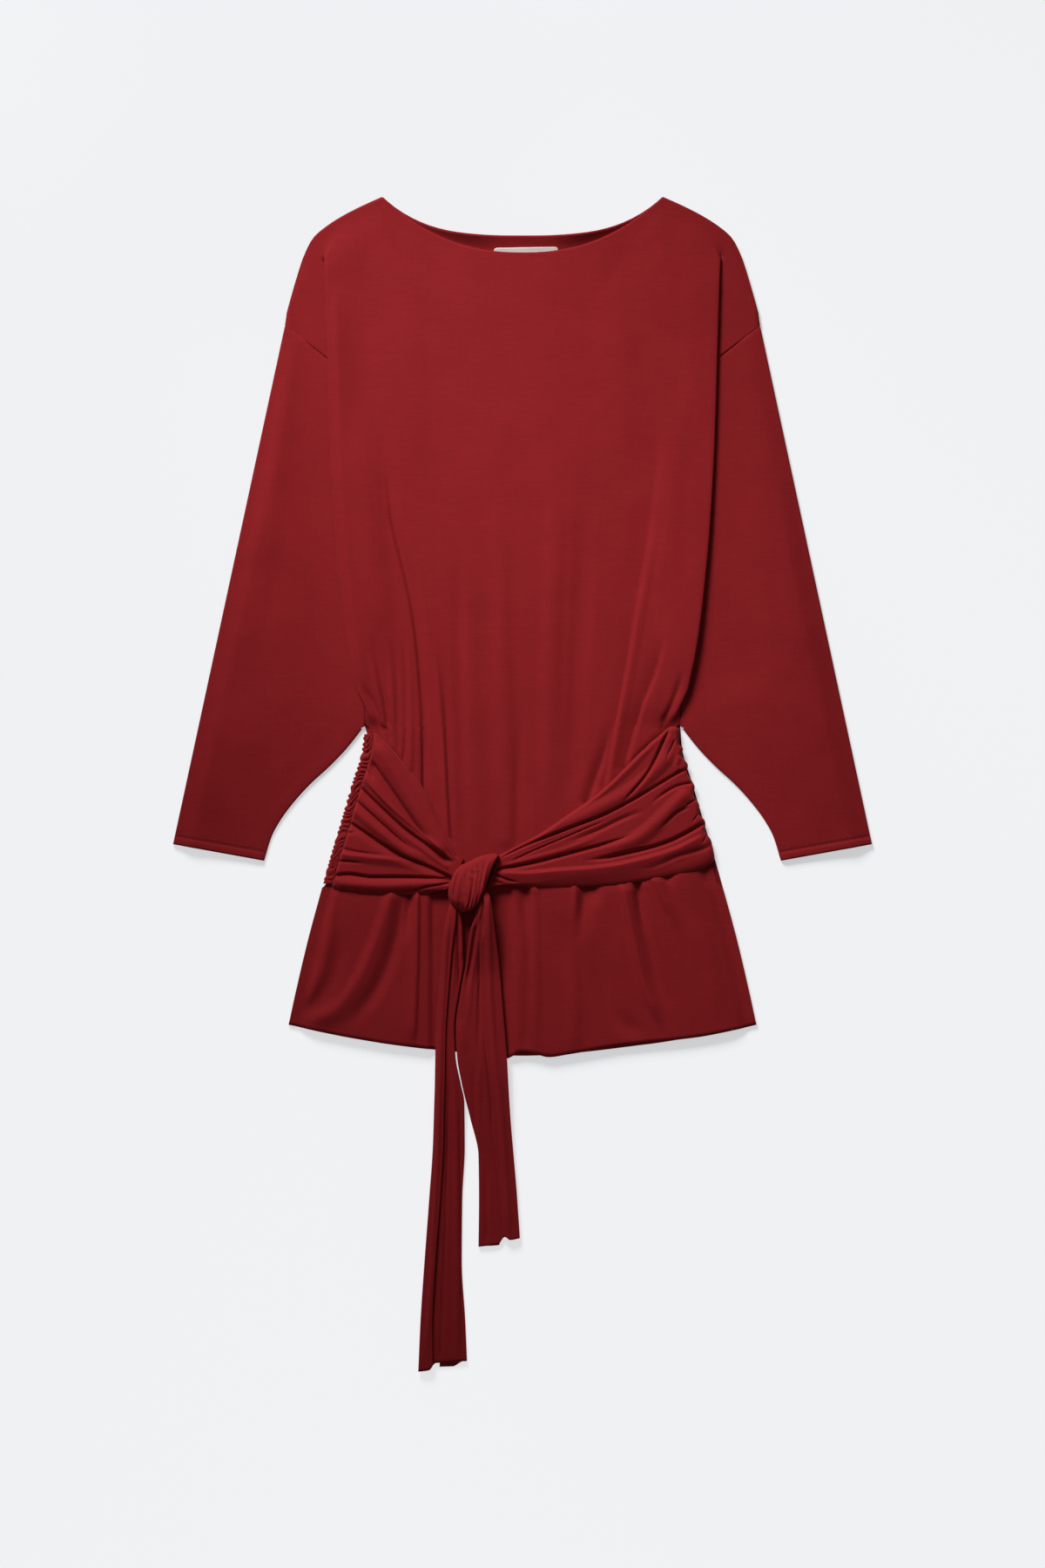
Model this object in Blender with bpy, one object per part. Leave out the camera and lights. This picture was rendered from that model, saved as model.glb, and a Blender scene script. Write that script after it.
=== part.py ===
"""Mini dress in red jersey, laid flat on its back with the sash tied at the hip.

The neck points to +Y and the cloth rests on z = 0. Left and right are the wearer's, so
the wearer's right side lies at -X. Sizes are in millimetres and become metres in one
place, when a panel's mesh is made. Each panel is the middle surface of one layer of
cloth, thickened to a wall by a Solidify modifier.
"""

import math
from collections import namedtuple
from functools import partial

import bmesh
import bpy
import numpy as np

MM = 0.001

# Cloth and how its layers lie on each other, measured between the middles of the walls.
CLOTH = 1.2
SEAM_GAP = 0.3
FOLD_AIR = 0.8
LAYER = CLOTH + FOLD_AIR
BACK_Z = CLOTH / 2
FRONT_EDGE_Z = BACK_Z + CLOTH + SEAM_GAP
SLEEVE_TOP_Z = BACK_Z + LAYER
UNDERLAP_Z = SLEEVE_TOP_Z + CLOTH + 0.4
PLEAT_TOP_Z = UNDERLAP_Z + LAYER
PRESSED_Z = 2.5
SASH_Z = PRESSED_Z + CLOTH + 0.9

# The neck opening and the hem.
NECK_Y = 566.0
NECK_HALF = 135.0
# A neckline's dip in the middle and how square its curve is.
Neckline = namedtuple("Neckline", "drop power")
BACK_NECK = Neckline(38.0, 3.3)
FRONT_NECK = Neckline(54.0, 2.35)
HEM_MIDDLE_Y = -262.0
HEM_CORNER_Y = -232.0
HEM_CORNER_X = 225.5
HEM_ROUNDNESS = 1.6

Edge = namedtuple("Edge", "y x")

# Half widths of the outline, from the neck corner over the shoulder to the sleeve seam.
SHOULDER = [
    Edge(566, 135),
    Edge(556, 157),
    Edge(546, 176),
    Edge(536, 191),
    Edge(526, 202),
    Edge(506, 212),
    Edge(487, 218),
    Edge(470, 223),
    Edge(455, 227),
    Edge(442, 229),
]
# The sleeve seam, from the outer arm down to the underarm point.
ARMHOLE = [
    Edge(442, 229),
    Edge(392, 166),
    Edge(300, 163),
    Edge(200, 158),
    Edge(100, 152.5),
    Edge(56, 152),
]
# The visible edge of the deep armhole pleat, where the front is folded over the sleeve.
PLEAT_EDGE = [
    Edge(536, 191),
    Edge(504, 190.5),
    Edge(420, 188),
    Edge(336, 185.5),
    Edge(252, 181),
    Edge(168, 173),
    Edge(126, 167),
    Edge(84, 158),
    Edge(56, 152),
]
# The side seam, from the underarm point down the ruching and the skirt.
SIDE = [
    Edge(56, 152),
    Edge(34, 154),
    Edge(0, 164),
    Edge(-34, 174),
    Edge(-67, 184),
    Edge(-92, 191),
    Edge(-151, 207),
    Edge(-202, 219),
    Edge(-232, 225.5),
]
UNDERARM = [
    Edge(-74, 249),
    Edge(-50, 241.5),
    Edge(-34, 232.7),
    Edge(-17, 220),
    Edge(0, 204.5),
    Edge(17, 186),
    Edge(34, 169.7),
    Edge(56, 152.3),
]
CUFF_OUTER = Edge(-58, 337)
WAIST_Y = 56.0
YOKE_Y = 392.0
SASH_LOW_Y = -100.0

# The pleat: how far it goes back under itself at most and at the shoulder seam, and how
# far points that share its turn lie apart where it has not grown yet.
PLEAT_DEPTH = 21.0
PLEAT_START_DEPTH = 2.0
YOKE_SPREAD = 2.6
BODICE_SPREAD = 1.3
# Where it leaves the shoulder seam, and the width of the yoke's last row.
PLEAT_START_X = 195.0
YOKE_END_X = 187.0
# The shares of the yoke over which it is lifted, folded over and deepened.
YOKE_LIFT = (0, 0.14)
YOKE_OVERHANG = (0.05, 0.4)
YOKE_DEEPENING = (0.1, 1)
# How far above the waist it is folded over and lifted in full.
OVERHANG_RISE = 44.0
LIFT_RISE = 20.0
# How far from its edge the front is bent over to it.
PLEAT_BEND = 16.0

# How full the sleeve and the front lie, and the most that creases lift the front.
SLEEVE_LOFT = 3.0
BODY_LOFT = 1.0
MOST_RISE = 3.7
SEAM_INSET = 0.3

# Ruched side seams: the back wraps round the wearer's right edge as a gathered band.
GATHERS = 16
GATHER_REACH = 1.1
GATHER_RISE = 0.6
BAND_WIDTH = 9.0
BAND_TOP_Y = 48.0
BAND_LOW_Y = -96.0
BAND_Z = SASH_Z
FRONT_IN_BAND = 4.5

# Creases of the front. A crease runs down the cloth through x at three heights; the
# widths are how far it reaches to each side, and a negative height is a trough.
Crease = namedtuple("Crease", "top x_top middle x_middle low x_low height to_left to_right")
# The shares of its length over which it grows at the top and dies away below.
CREASE_GROWTH = 0.35
CREASE_END = 0.12
BODICE_CREASES = [
    Crease(300, -134, 150, -100, -4, -94, 3.0, 22, 8),
    Crease(130, -84, 60, -78, -30, -72, 2.0, 9, 6),
    Crease(130, -112, 80, -110, 20, -112, 1.6, 10, 10),
    Crease(110, -134, 80, -130, 46, -126, 1.5, 9, 9),
    Crease(330, 132, 150, 107, 10, 83, 3.2, 8, 22),
    Crease(160, 134, 90, 122, 26, 103, 2.4, 7, 16),
    Crease(260, 0, 100, -8, -40, -12, 1.0, 26, 26),
]
SKIRT_CREASES = [
    Crease(-104, -172, -160, -180, -236, -196, 1.6, 16, 22),
    Crease(-108, -132, -170, -142, -250, -150, 1.6, 18, 16),
    Crease(-108, -98, -170, -100, -255, -104, 1.2, 10, 9),
    Crease(-108, 14, -170, 14, -262, 14, 1.5, 12, 14),
    Crease(-108, 44, -170, 50, -262, 54, 1.5, 12, 16),
    Crease(-106, 84, -170, 106, -255, 128, 1.9, 16, 20),
    Crease(-100, 128, -150, 152, -246, 188, 1.6, 14, 20),
]

# The two halves of the sash. Each fans out from the ruched side seam and is drawn
# together at the knot. Rows of points run from the seam to the knot.
Point = namedtuple("Point", "x y")
RIGHT_SASH_UPPER = [
    Point(-142.5, 52),
    Point(-126, 41),
    Point(-109, 17),
    Point(-92, -10),
    Point(-80, -36),
    Point(-68, -55),
    Point(-56.5, -73),
]
RIGHT_SASH_LOWER = [
    Point(-181.5, -97),
    Point(-168, -102),
    Point(-134, -107),
    Point(-101, -106),
    Point(-72.5, -101),
]
LEFT_SASH_UPPER = [
    Point(149.5, 52),
    Point(134, 55),
    Point(118, 44),
    Point(101, 25),
    Point(84, 4),
    Point(67, -13),
    Point(42, -31),
    Point(17, -48),
    Point(-22.5, -69),
]
LEFT_SASH_LOWER = [
    Point(184.5, -70),
    Point(151, -84),
    Point(118, -92),
    Point(84, -97),
    Point(50, -99),
    Point(17, -100),
    Point(-4, -98),
    Point(-20, -97),
    Point(-34.5, -99.5),
]
# Crests and hollows across a half of the sash: their share of its width at the seam and
# at the knot, and their share of the full height. Crests and hollows alternate.
Pleat = namedtuple("Pleat", "at_seam at_knot height")
RIGHT_PLEATS = [
    Pleat(0.00, 0.00, 0.10),
    Pleat(0.10, 0.11, 0.85),
    Pleat(0.20, 0.24, 0.00),
    Pleat(0.30, 0.32, 0.75),
    Pleat(0.41, 0.40, 0.10),
    Pleat(0.46, 0.46, 0.65),
    Pleat(0.52, 0.52, 0.20),
    Pleat(0.57, 0.60, 0.95),
    Pleat(0.64, 0.69, 0.00),
    Pleat(0.74, 0.75, 0.70),
    Pleat(0.84, 0.81, 0.30),
    Pleat(0.90, 0.86, 0.90),
    Pleat(0.94, 0.91, 0.00),
    Pleat(0.97, 0.96, 0.70),
    Pleat(1.00, 1.00, 0.10),
]
LEFT_PLEATS = [
    Pleat(0.00, 0.00, 0.10),
    Pleat(0.08, 0.07, 0.75),
    Pleat(0.16, 0.14, 0.05),
    Pleat(0.26, 0.20, 0.80),
    Pleat(0.33, 0.26, 0.30),
    Pleat(0.40, 0.31, 0.80),
    Pleat(0.48, 0.38, 0.00),
    Pleat(0.56, 0.46, 0.85),
    Pleat(0.66, 0.55, 0.35),
    Pleat(0.72, 0.62, 0.75),
    Pleat(0.79, 0.70, 0.00),
    Pleat(0.87, 0.81, 1.00),
    Pleat(0.94, 0.91, 0.30),
    Pleat(1.00, 1.00, 0.10),
]
PLEAT_HEIGHT = 4.0
PLEAT_STEEPNESS = 0.64
SASH_STEPS = 10
# The scallops that the pleats make along the gathered seam of the wearer's left side.
SEAM_SCALLOP = 1.4
SEAM_WIDTH = 140.0
SCALLOP_SHARE = 0.2
SEAM_TUCK = 0.4
BAND_TUCK = 0.6

# The knot: sections across the band that is wrapped over it, from its upper end at the
# wearer's left to its lower end at the wearer's right.
KnotRing = namedtuple("KnotRing", "x y half_width height")
KNOT = [
    KnotRing(-25.0, -67.5, 2.0, 9.0),
    KnotRing(-33.0, -72.0, 6.6, 13.5),
    KnotRing(-41.0, -79.3, 10.9, 17.5),
    KnotRing(-46.4, -84.5, 14.5, 20.5),
    KnotRing(-51.5, -93.9, 16.3, 22.0),
    KnotRing(-55.5, -103.7, 16.2, 21.0),
    KnotRing(-58.5, -112.7, 13.5, 17.5),
    KnotRing(-61.0, -119.0, 7.5, 12.0),
    KnotRing(-61.8, -122.0, 3.0, 8.0),
]
KNOT_ACROSS = (-0.914, 0.407)
KNOT_Z = PRESSED_Z + CLOTH / 2 + 0.9
KNOT_CREASES = 4
KNOT_CREASE_DEPTH = 1.0
KNOT_SEGMENTS = 36
KNOT_WIDEST = 18.0

# Tails of the sash, folded lengthwise in three layers: a lower one that ends at `under`,
# the main one between `fold` and `side`, and an upper one that ends at `lap`.
TailRow = namedtuple("TailRow", "y fold lap side under")
LONG_TAIL = [
    TailRow(-123.5, -72.5, -68.0, -63.5, -66.5),
    TailRow(-145, -76.5, -66.5, -57.0, -64.0),
    TailRow(-170, -79.0, -69.5, -56.5, -66.0),
    TailRow(-200, -81.0, -71.5, -61.0, -68.0),
    TailRow(-235, -83.5, -74.0, -65.5, -70.0),
    TailRow(-262, -84.0, -74.5, -64.5, -70.0),
    TailRow(-290, -84.5, -75.0, -59.2, -70.0),
    TailRow(-306, -85.0, -75.5, -56.0, -70.5),
    TailRow(-350, -86.5, -76.5, -55.6, -72.0),
    TailRow(-400, -90.0, -79.5, -58.0, -76.0),
    TailRow(-460, -94.5, -84.0, -58.5, -78.0),
    TailRow(-520, -98.5, -87.0, -55.0, -79.0),
    TailRow(-566, -100.5, -86.5, -53.5, -80.0),
]
SHORT_TAIL = [
    TailRow(-106, -31.0, -34.0, -38.5, -35.0),
    TailRow(-124, -28.5, -36.5, -44.0, -38.0),
    TailRow(-140, -26.5, -38.5, -50.0, -40.0),
    TailRow(-170, -22.5, -40.0, -54.0, -42.0),
    TailRow(-200, -20.0, -39.5, -59.6, -43.0),
    TailRow(-235, -17.0, -38.0, -64.2, -44.0),
    TailRow(-262, -15.0, -35.0, -63.0, -42.0),
    TailRow(-290, -13.5, -31.5, -58.2, -38.0),
    TailRow(-322, -11.5, -28.5, -50.3, -33.0),
    TailRow(-358, -8.5, -26.0, -42.5, -28.0),
    TailRow(-400, -5.0, -22.0, -42.0, -24.0),
    TailRow(-446, -2.5, -18.0, -42.5, -22.0),
]
TAIL_OVER_SKIRT_Z = PRESSED_Z + BODY_LOFT + CLOTH / 2 + 0.4
TAIL_DROP_START = -268.0
TAIL_DROP_END = -306.0
TAIL_STEPS = 16
TAIL_CROWN = 0.3

LABEL_SIZE = (62.0, 24.0)
LABEL_CENTRE = Point(3.5, 508.5)
LABEL_THICKNESS = 0.8
LABEL_CORNER = 1.5

Finish = namedtuple("Finish", "name colour roughness")
JERSEY = Finish("red jersey", (0.250, 0.016, 0.020), 0.72)
LABEL_SATIN = Finish("white label satin", (0.76, 0.70, 0.68), 0.45)


def through(knots, values):
    """A smooth function that passes through the values at the knots without overshooting."""
    order = np.argsort(knots)
    x, v = np.asarray(knots, float)[order], np.asarray(values, float)[order]
    step = np.diff(x)
    slope = np.diff(v) / step
    product = slope[:-1] * slope[1:]
    same_way = product > 0
    total = np.where(same_way, slope[:-1] + slope[1:], 1.0)
    inner = np.where(same_way, 2 * product / total, 0.0)
    tangent = np.concatenate([slope[:1], inner, slope[-1:]])

    def at(q):
        q = min(max(q, x[0]), x[-1])
        i = min(max(int(np.searchsorted(x, q)) - 1, 0), len(step) - 1)
        t = (q - x[i]) / step[i]
        rise = (3 - 2 * t) * t * t
        bend = t * (1 - t) * step[i] * ((1 - t) * tangent[i] - t * tangent[i + 1])
        return float(v[i] + rise * (v[i + 1] - v[i]) + bend)

    return at


def edge_curve(rows):
    """The half width of an outline as a function of the height y."""
    return through([row.y for row in rows], [row.x for row in rows])


def route(points):
    """A smooth plane curve through the points, as a function of the share of its length."""
    steps = [math.dist(a, b) for a, b in zip(points, points[1:])]
    share = np.concatenate([[0], np.cumsum(steps)]) / sum(steps)
    x, y = (through(share, [point[axis] for point in points]) for axis in (0, 1))
    return lambda t: np.array([x(t), y(t)])


def ramp(start, end, q):
    """A soft step from 0 at start to 1 at end."""
    t = min(max((q - start) / (end - start), 0.0), 1.0)
    return t * t * (3 - 2 * t)


def hump(t):
    """A soft bump of height 1 at t = 0 that is gone at t = -1 and t = 1."""
    return (1 - t * t) ** 2 if abs(t) < 1 else 0.0


shoulder_top = through([edge.x for edge in SHOULDER], [edge.y for edge in SHOULDER])
armhole_x = edge_curve(ARMHOLE)
pleat_x = edge_curve(PLEAT_EDGE)
side_x = edge_curve(SIDE)
underarm_x = edge_curve(UNDERARM)


def top_y(x, neckline):
    """Height of the upper outline at x: the neckline in the middle, then the shoulder."""
    if abs(x) >= NECK_HALF:
        return shoulder_top(abs(x))
    return NECK_Y - neckline.drop * (1 - (abs(x) / NECK_HALF) ** neckline.power)


def hem_y(x):
    """Height of the hem at x, lowest in the middle."""
    share = min(abs(x) / HEM_CORNER_X, 1.0)
    return HEM_MIDDLE_Y + (HEM_CORNER_Y - HEM_MIDDLE_Y) * share**HEM_ROUNDNESS


def sash_edge(right_half, left_half):
    """The height of the sash's upper or lower edge as a function of x, knot included."""
    points = [*right_half, *left_half]
    return through([point.x for point in points], [point.y for point in points])


sash_top = sash_edge(RIGHT_SASH_UPPER, LEFT_SASH_UPPER)
sash_low = sash_edge(RIGHT_SASH_LOWER, LEFT_SASH_LOWER)


def crease_height(creases, x, y):
    """How far the creases lift the cloth at a point. They flatten towards the sash."""
    total = 0.0
    for crease in creases:
        if not crease.low < y < crease.top:
            continue
        heights = (crease.top, crease.middle, crease.low)
        centre = through(heights, (crease.x_top, crease.x_middle, crease.x_low))(y)
        width = crease.to_right if x > centre else crease.to_left
        length = crease.top - crease.low
        growth = ramp(crease.top, crease.top - CREASE_GROWTH * length, y)
        end = ramp(crease.low, crease.low + CREASE_END * length, y)
        total += crease.height * hump((x - centre) / width) * growth * end
    return total * (ramp(2, 28, y - sash_top(x)) + ramp(2, 20, sash_low(x) - y))


def pleat_lift(drop, y):
    """How far the armhole pleat stands up: not at the shoulder seam nor at the waist."""
    return ramp(0, LIFT_RISE, drop) * ramp(WAIST_Y, WAIST_Y + LIFT_RISE, y)


def pleat_overhang(y):
    """How far the armhole pleat is folded over: not near the waist."""
    return ramp(WAIST_Y, WAIST_Y + OVERHANG_RISE, y)


# The front's rise over its seam level, by the distance inside the pleat's edge.
pleat_rise = through((0, 24, 50, 80), (PLEAT_TOP_Z - FRONT_EDGE_Z, 3.5, 2.2, 1.4))


def front_height(x, y):
    """Height of the front's middle surface between the armhole pleats."""
    drop = top_y(x, FRONT_NECK) - y
    inside = (pleat_x(y) if y > WAIST_Y else side_x(y)) - abs(x)
    neck_stand = max(ramp(0, 25, drop), ramp(128, 70, abs(x)))
    off_sash = ramp(0, 30, y - sash_top(x)) + ramp(0, 24, sash_low(x) - y)
    loft = BODY_LOFT * neck_stand * ramp(0, 30, inside) * min(off_sash, 1.0)
    pressed = (PRESSED_Z - FRONT_EDGE_Z) * ramp(0, 12, inside) * ramp(0, 25, drop)
    rise = pressed + loft
    if y > WAIST_Y:
        rise += pleat_lift(drop, y) * max(pleat_rise(inside) - rise, 0)
    creases = crease_height(BODICE_CREASES if y > SASH_LOW_Y else SKIRT_CREASES, x, y)
    room = max(MOST_RISE - rise, 0.1)
    return FRONT_EDGE_Z + rise + creases / (1 + (max(creases, 0) / room) ** 4) ** 0.25


def cloth(name, points, finish, thickness=CLOTH, closed_columns=None):
    """One panel of cloth.

    points maps (row, column) to the (x, y, z) of the wall's middle, in millimetres. A
    face is made wherever its four corners are there. closed_columns joins the last of
    these columns to the first one in every row that reaches it.
    """
    mesh = bpy.data.meshes.new(name)
    shape = bmesh.new()
    corner = {key: shape.verts.new([c * MM for c in p]) for key, p in points.items()}
    follows = {}
    for row, column in points:
        follows[(row, column)] = (row, column + 1)
        if closed_columns and column == closed_columns - 1:
            follows[(row, column)] = (row, 0)
    for row, column in points:
        across = follows[(row, column)]
        up, up_across = (row + 1, column), (row + 1, across[1])
        if all(key in corner for key in (across, up, up_across)):
            shape.faces.new([corner[key] for key in ((row, column), across, up_across, up)])
    loose = [vertex for vertex in shape.verts if not vertex.link_faces]
    bmesh.ops.delete(shape, geom=loose, context="VERTS")
    bmesh.ops.recalc_face_normals(shape, faces=shape.faces)
    shape.to_mesh(mesh)
    shape.free()
    panel = add_object(name, mesh, finish)
    wall = panel.modifiers.new("Wall", "SOLIDIFY")
    wall.thickness = thickness * MM
    wall.offset = 0
    return panel


def add_object(name, mesh, finish):
    """Links a mesh to the scene as a smooth shaded sub-part with its own material."""
    mesh.shade_smooth()
    mesh.materials.append(material_of(finish, name))
    sub_part = bpy.data.objects.new(name, mesh)
    bpy.context.scene.collection.objects.link(sub_part)
    return sub_part


def material_of(finish, owner):
    """A Principled material with the finish's colour and roughness."""
    material = bpy.data.materials.new(f"{finish.name} {owner}")
    material.use_nodes = True
    shader = material.node_tree.nodes["Principled BSDF"]
    shader.inputs["Base Color"].default_value = (*finish.colour, 1)
    shader.inputs["Roughness"].default_value = finish.roughness
    shader.inputs["Metallic"].default_value = 0
    return material


# Rows of the front and back, from the top: shares of the yoke, then heights.
YOKE_SHARES = (0, 0.07, 0.16, 0.3, 0.5, 0.75, 1)
ARMHOLE_HEIGHTS = (346, 300, 250, 200, 160, 130, 112, 99, 87, 76, 66, 56)
SASH_HEIGHTS = (44, 18, -12, -42, -72, -97)
SKIRT_SHARES = (0, 0.12, 0.35, 0.65, 1)
FLAP_TOPS = (227, 223, 216, 206, 197)
FLAP_COLUMNS = len(FLAP_TOPS)


def seam_share(x):
    """How far along the sleeve seam, from the outer arm, the flap's column at x ends."""
    outer, inner = FLAP_TOPS[0], PLEAT_EDGE[0].x
    return (outer - x) / (outer - inner)


def seam_point(share):
    """A point on the straight part of the sleeve seam, from the outer arm inwards."""
    outer, inner = ARMHOLE[0], ARMHOLE[1]
    return (
        outer.x + share * (inner.x - outer.x),
        outer.y + share * (inner.y - outer.y),
    )


def back_columns():
    """Shares of the half width at which the back has columns, from left to right."""
    half = (0.18, 0.36, 0.53, 0.707, 0.86, 1)
    return [-s for s in reversed(half)] + [0] + list(half)


def gather_wave(y):
    """-1 to 1, one wave for each gather of the ruched side seam."""
    return math.cos(2 * math.pi * GATHERS * (BAND_TOP_Y - y) / (BAND_TOP_Y - BAND_LOW_Y))


def back_rows():
    """Heights below the yoke at which the back has rows."""
    waves = np.linspace(BAND_TOP_Y, BAND_LOW_Y, 2 * GATHERS + 1)
    return [*ARMHOLE_HEIGHTS, *waves]


def build_back():
    """The back from neck to hem, flat on the ground, with the gathered band it wraps."""
    shares = back_columns()
    points = {}
    first, last = FLAP_COLUMNS, FLAP_COLUMNS + len(shares) - 1
    for row, v in enumerate(YOKE_SHARES):
        for k, x in enumerate(FLAP_TOPS):
            end = seam_point(seam_share(x))
            start = (x, top_y(x, BACK_NECK))
            px, py = (start[i] + v * (end[i] - start[i]) for i in (0, 1))
            points[(row, k)] = (-px, py, BACK_Z)
            points[(row, last + FLAP_COLUMNS - k)] = (px, py, BACK_Z)
        for k, s in enumerate(shares):
            x = s * PLEAT_EDGE[0].x
            px = (1 - v) * x + v * s * ARMHOLE[1].x
            py = (1 - v) * top_y(x, BACK_NECK) + v * YOKE_Y
            points[(row, first + k)] = (px, py, BACK_Z)
    row = len(YOKE_SHARES)
    for y in back_rows():
        half = armhole_x(y) if y > WAIST_Y else side_x(y)
        gathered = BAND_LOW_Y <= y <= BAND_TOP_Y
        reach = GATHER_REACH * gather_wave(y) if gathered else 0.0
        for k, s in enumerate(shares):
            px = s * half
            if k == len(shares) - 1:
                px += reach
            points[(row, first + k)] = (px, y, BACK_Z)
        if gathered:
            add_band(points, row, first, half, reach, y)
        row += 1
    for v in SKIRT_SHARES[1:]:
        y_side = BAND_LOW_Y + v * (HEM_CORNER_Y - BAND_LOW_Y)
        half = side_x(y_side)
        for k, s in enumerate(shares):
            py = BAND_LOW_Y + v * (hem_y(s * HEM_CORNER_X) - BAND_LOW_Y)
            points[(row, first + k)] = (s * half, py, BACK_Z)
        row += 1
    return cloth("back_body", points, JERSEY)


def add_band(points, row, first, half, reach, y):
    """Turns the back's edge up at the wearer's right side and lays it over the seam."""
    radius = (BAND_Z - BACK_Z) / 2
    edge = -half - reach + CLOTH / 2 + radius
    points[(row, first)] = (edge, y, BACK_Z)
    for k, angle in enumerate(TURN_ANGLES, start=1):
        turn = math.radians(angle)
        px = edge - radius * math.sin(turn)
        pz = BACK_Z + radius * (1 - math.cos(turn))
        points[(row, first - k)] = (px, y, pz)
    rise = GATHER_RISE * gather_wave(y)
    points[(row, first - 4)] = (edge + 0.5, y, BAND_Z + rise)
    points[(row, first - 5)] = (-half + BAND_WIDTH, y, BAND_Z)


def pleat_section(edge, fold, wall, depth, lift, overhang, spread, has_flap):
    """Half a cross section of the front through the armhole pleat, as (distance from the
    centre, height) pairs. It runs from the sleeve seam under the fold and over its top.

    The pleat grows out of a slope that starts at `edge` over an upright wall at `wall`
    into a fold at `fold` that goes back under it by `depth`. `overhang` says how far it
    has grown, `lift` how high it stands and `spread` how wide the slope's steps are.
    """
    turn = LAYER / 2
    inner_turn = (UNDERLAP_Z - SLEEVE_TOP_Z) / 2
    tip = fold - CLOTH / 2
    folded = [
        (tip - depth, UNDERLAP_Z),
        (tip - (depth + turn) / 2, UNDERLAP_Z),
        (tip - turn, UNDERLAP_Z),
        (tip - 0.3 * turn, UNDERLAP_Z + 0.3 * turn),
        (tip, UNDERLAP_Z + turn),
        (tip - 0.3 * turn, PLEAT_TOP_Z - 0.3 * turn),
        (tip - turn, PLEAT_TOP_Z),
    ]
    if has_flap:
        folded = [
            (tip - depth, SLEEVE_TOP_Z),
            (tip - depth - inner_turn, SLEEVE_TOP_Z + inner_turn),
        ] + folded
    low, high = folded[0][1], folded[-1][1]
    section = []
    for k, (x, z) in enumerate(folded):
        upright_z = low + (high - low) * k / (len(folded) - 1)
        bent = max(2 * overhang - 1, 0)
        risen = min(2 * overhang, 1)
        start_x = (1 - risen) * (edge - k * spread) + risen * wall
        level = (1 - bent) * upright_z + bent * z
        section.append(
            ((1 - bent) * start_x + bent * x, FRONT_EDGE_Z + lift * (level - FRONT_EDGE_Z))
        )
    return section


FRONT_COLUMNS = 34
TURN_COLUMNS = 7


def add_front_row(points, row, y_of, flap, section):
    """Adds one row of the front from flap and pleat section, mirrored to both sides."""
    left = FLAP_COLUMNS + 2 - (len(section) - TURN_COLUMNS)
    right = 2 * (FLAP_COLUMNS + 2 + TURN_COLUMNS) + FRONT_COLUMNS - 1
    for k, (x, y, z) in enumerate(flap):
        points[(row, k)] = (-x, y, z)
        points[(row, right - k)] = (x, y, z)
    for k, (x, z) in enumerate(section):
        points[(row, left + k)] = (-x, y_of(-x), z)
        points[(row, right - left - k)] = (x, y_of(x), z)
    inner, level = section[-1]
    first = FLAP_COLUMNS + 2 + TURN_COLUMNS
    for k in range(FRONT_COLUMNS):
        x = inner * (2 * (k + 1) / (FRONT_COLUMNS + 1) - 1)
        y = y_of(x)
        toward_fold = ramp(inner - PLEAT_BEND, inner, abs(x))
        z = (1 - toward_fold) * front_height(x, y) + toward_fold * level
        points[(row, first + k)] = (x, y, z)


def yoke_y(v, x):
    """Height of the front's yoke row at the share v of its depth, at x."""
    wide = x * PLEAT_START_X / ((1 - v) * PLEAT_START_X + v * YOKE_END_X)
    return (1 - v) * top_y(wide, FRONT_NECK) + v * YOKE_Y


def skirt_y(v, half, x):
    """Height of the front's skirt row at the share v of its depth, at x."""
    return SASH_LOW_Y + v * (hem_y(x / half * HEM_CORNER_X) - SASH_LOW_Y)


def shoulder_flap(v, lift, inner_x):
    """Points of the yoke row v outside the armhole pleat, from the outer arm inwards."""
    flap = []
    for x in FLAP_TOPS:
        end = seam_point(seam_share(x) * (FLAP_COLUMNS - 1) / FLAP_COLUMNS)
        start_y = top_y(x, FRONT_NECK)
        px, py = x + v * (end[0] - x), start_y + v * (end[1] - start_y)
        level = FRONT_EDGE_Z + (SLEEVE_TOP_Z - FRONT_EDGE_Z) * lift
        flap.append((max(px, inner_x + 0.4 * YOKE_SPREAD), py, level))
    return flap


def build_front():
    """The front from neck to hem, with its armhole pleats folded over the sleeves."""
    points = {}
    for row, v in enumerate(YOKE_SHARES):
        y_of = partial(yoke_y, v)
        lift, overhang = ramp(*YOKE_LIFT, v), ramp(*YOKE_OVERHANG, v)
        deepened = ramp(*YOKE_DEEPENING, v)
        depth = PLEAT_START_DEPTH + (PLEAT_DEPTH - PLEAT_START_DEPTH) * deepened
        fold = pleat_x(y_of(PLEAT_EDGE[0].x))
        section = pleat_section(
            PLEAT_START_X, fold, fold, depth, lift, overhang, YOKE_SPREAD, True
        )
        flap = shoulder_flap(v, lift, section[0][0])
        add_front_row(points, row, y_of, flap, section)
    row = len(YOKE_SHARES)
    for y in (*ARMHOLE_HEIGHTS, *SASH_HEIGHTS):
        if y > WAIST_Y:
            edge, fold = armhole_x(y) - SEAM_INSET, pleat_x(y)
        else:
            edge = fold = side_x(y) - FRONT_IN_BAND
        wall, lift, overhang = edge - CLOTH / 2, pleat_lift(NECK_Y, y), pleat_overhang(y)
        section = pleat_section(
            edge, fold, wall, fold - edge, lift, overhang, BODICE_SPREAD, False
        )
        add_front_row(points, row, lambda x, y=y: y, [], section)
        row += 1
    for v in SKIRT_SHARES:
        half = side_x(SASH_LOW_Y + v * (HEM_CORNER_Y - SASH_LOW_Y))
        section = pleat_section(half, half, half, 0, 0, 0, BODICE_SPREAD, False)
        add_front_row(points, row, partial(skirt_y, v, half), [], section)
        row += 1
    return cloth("front_body", points, JERSEY)


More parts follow.
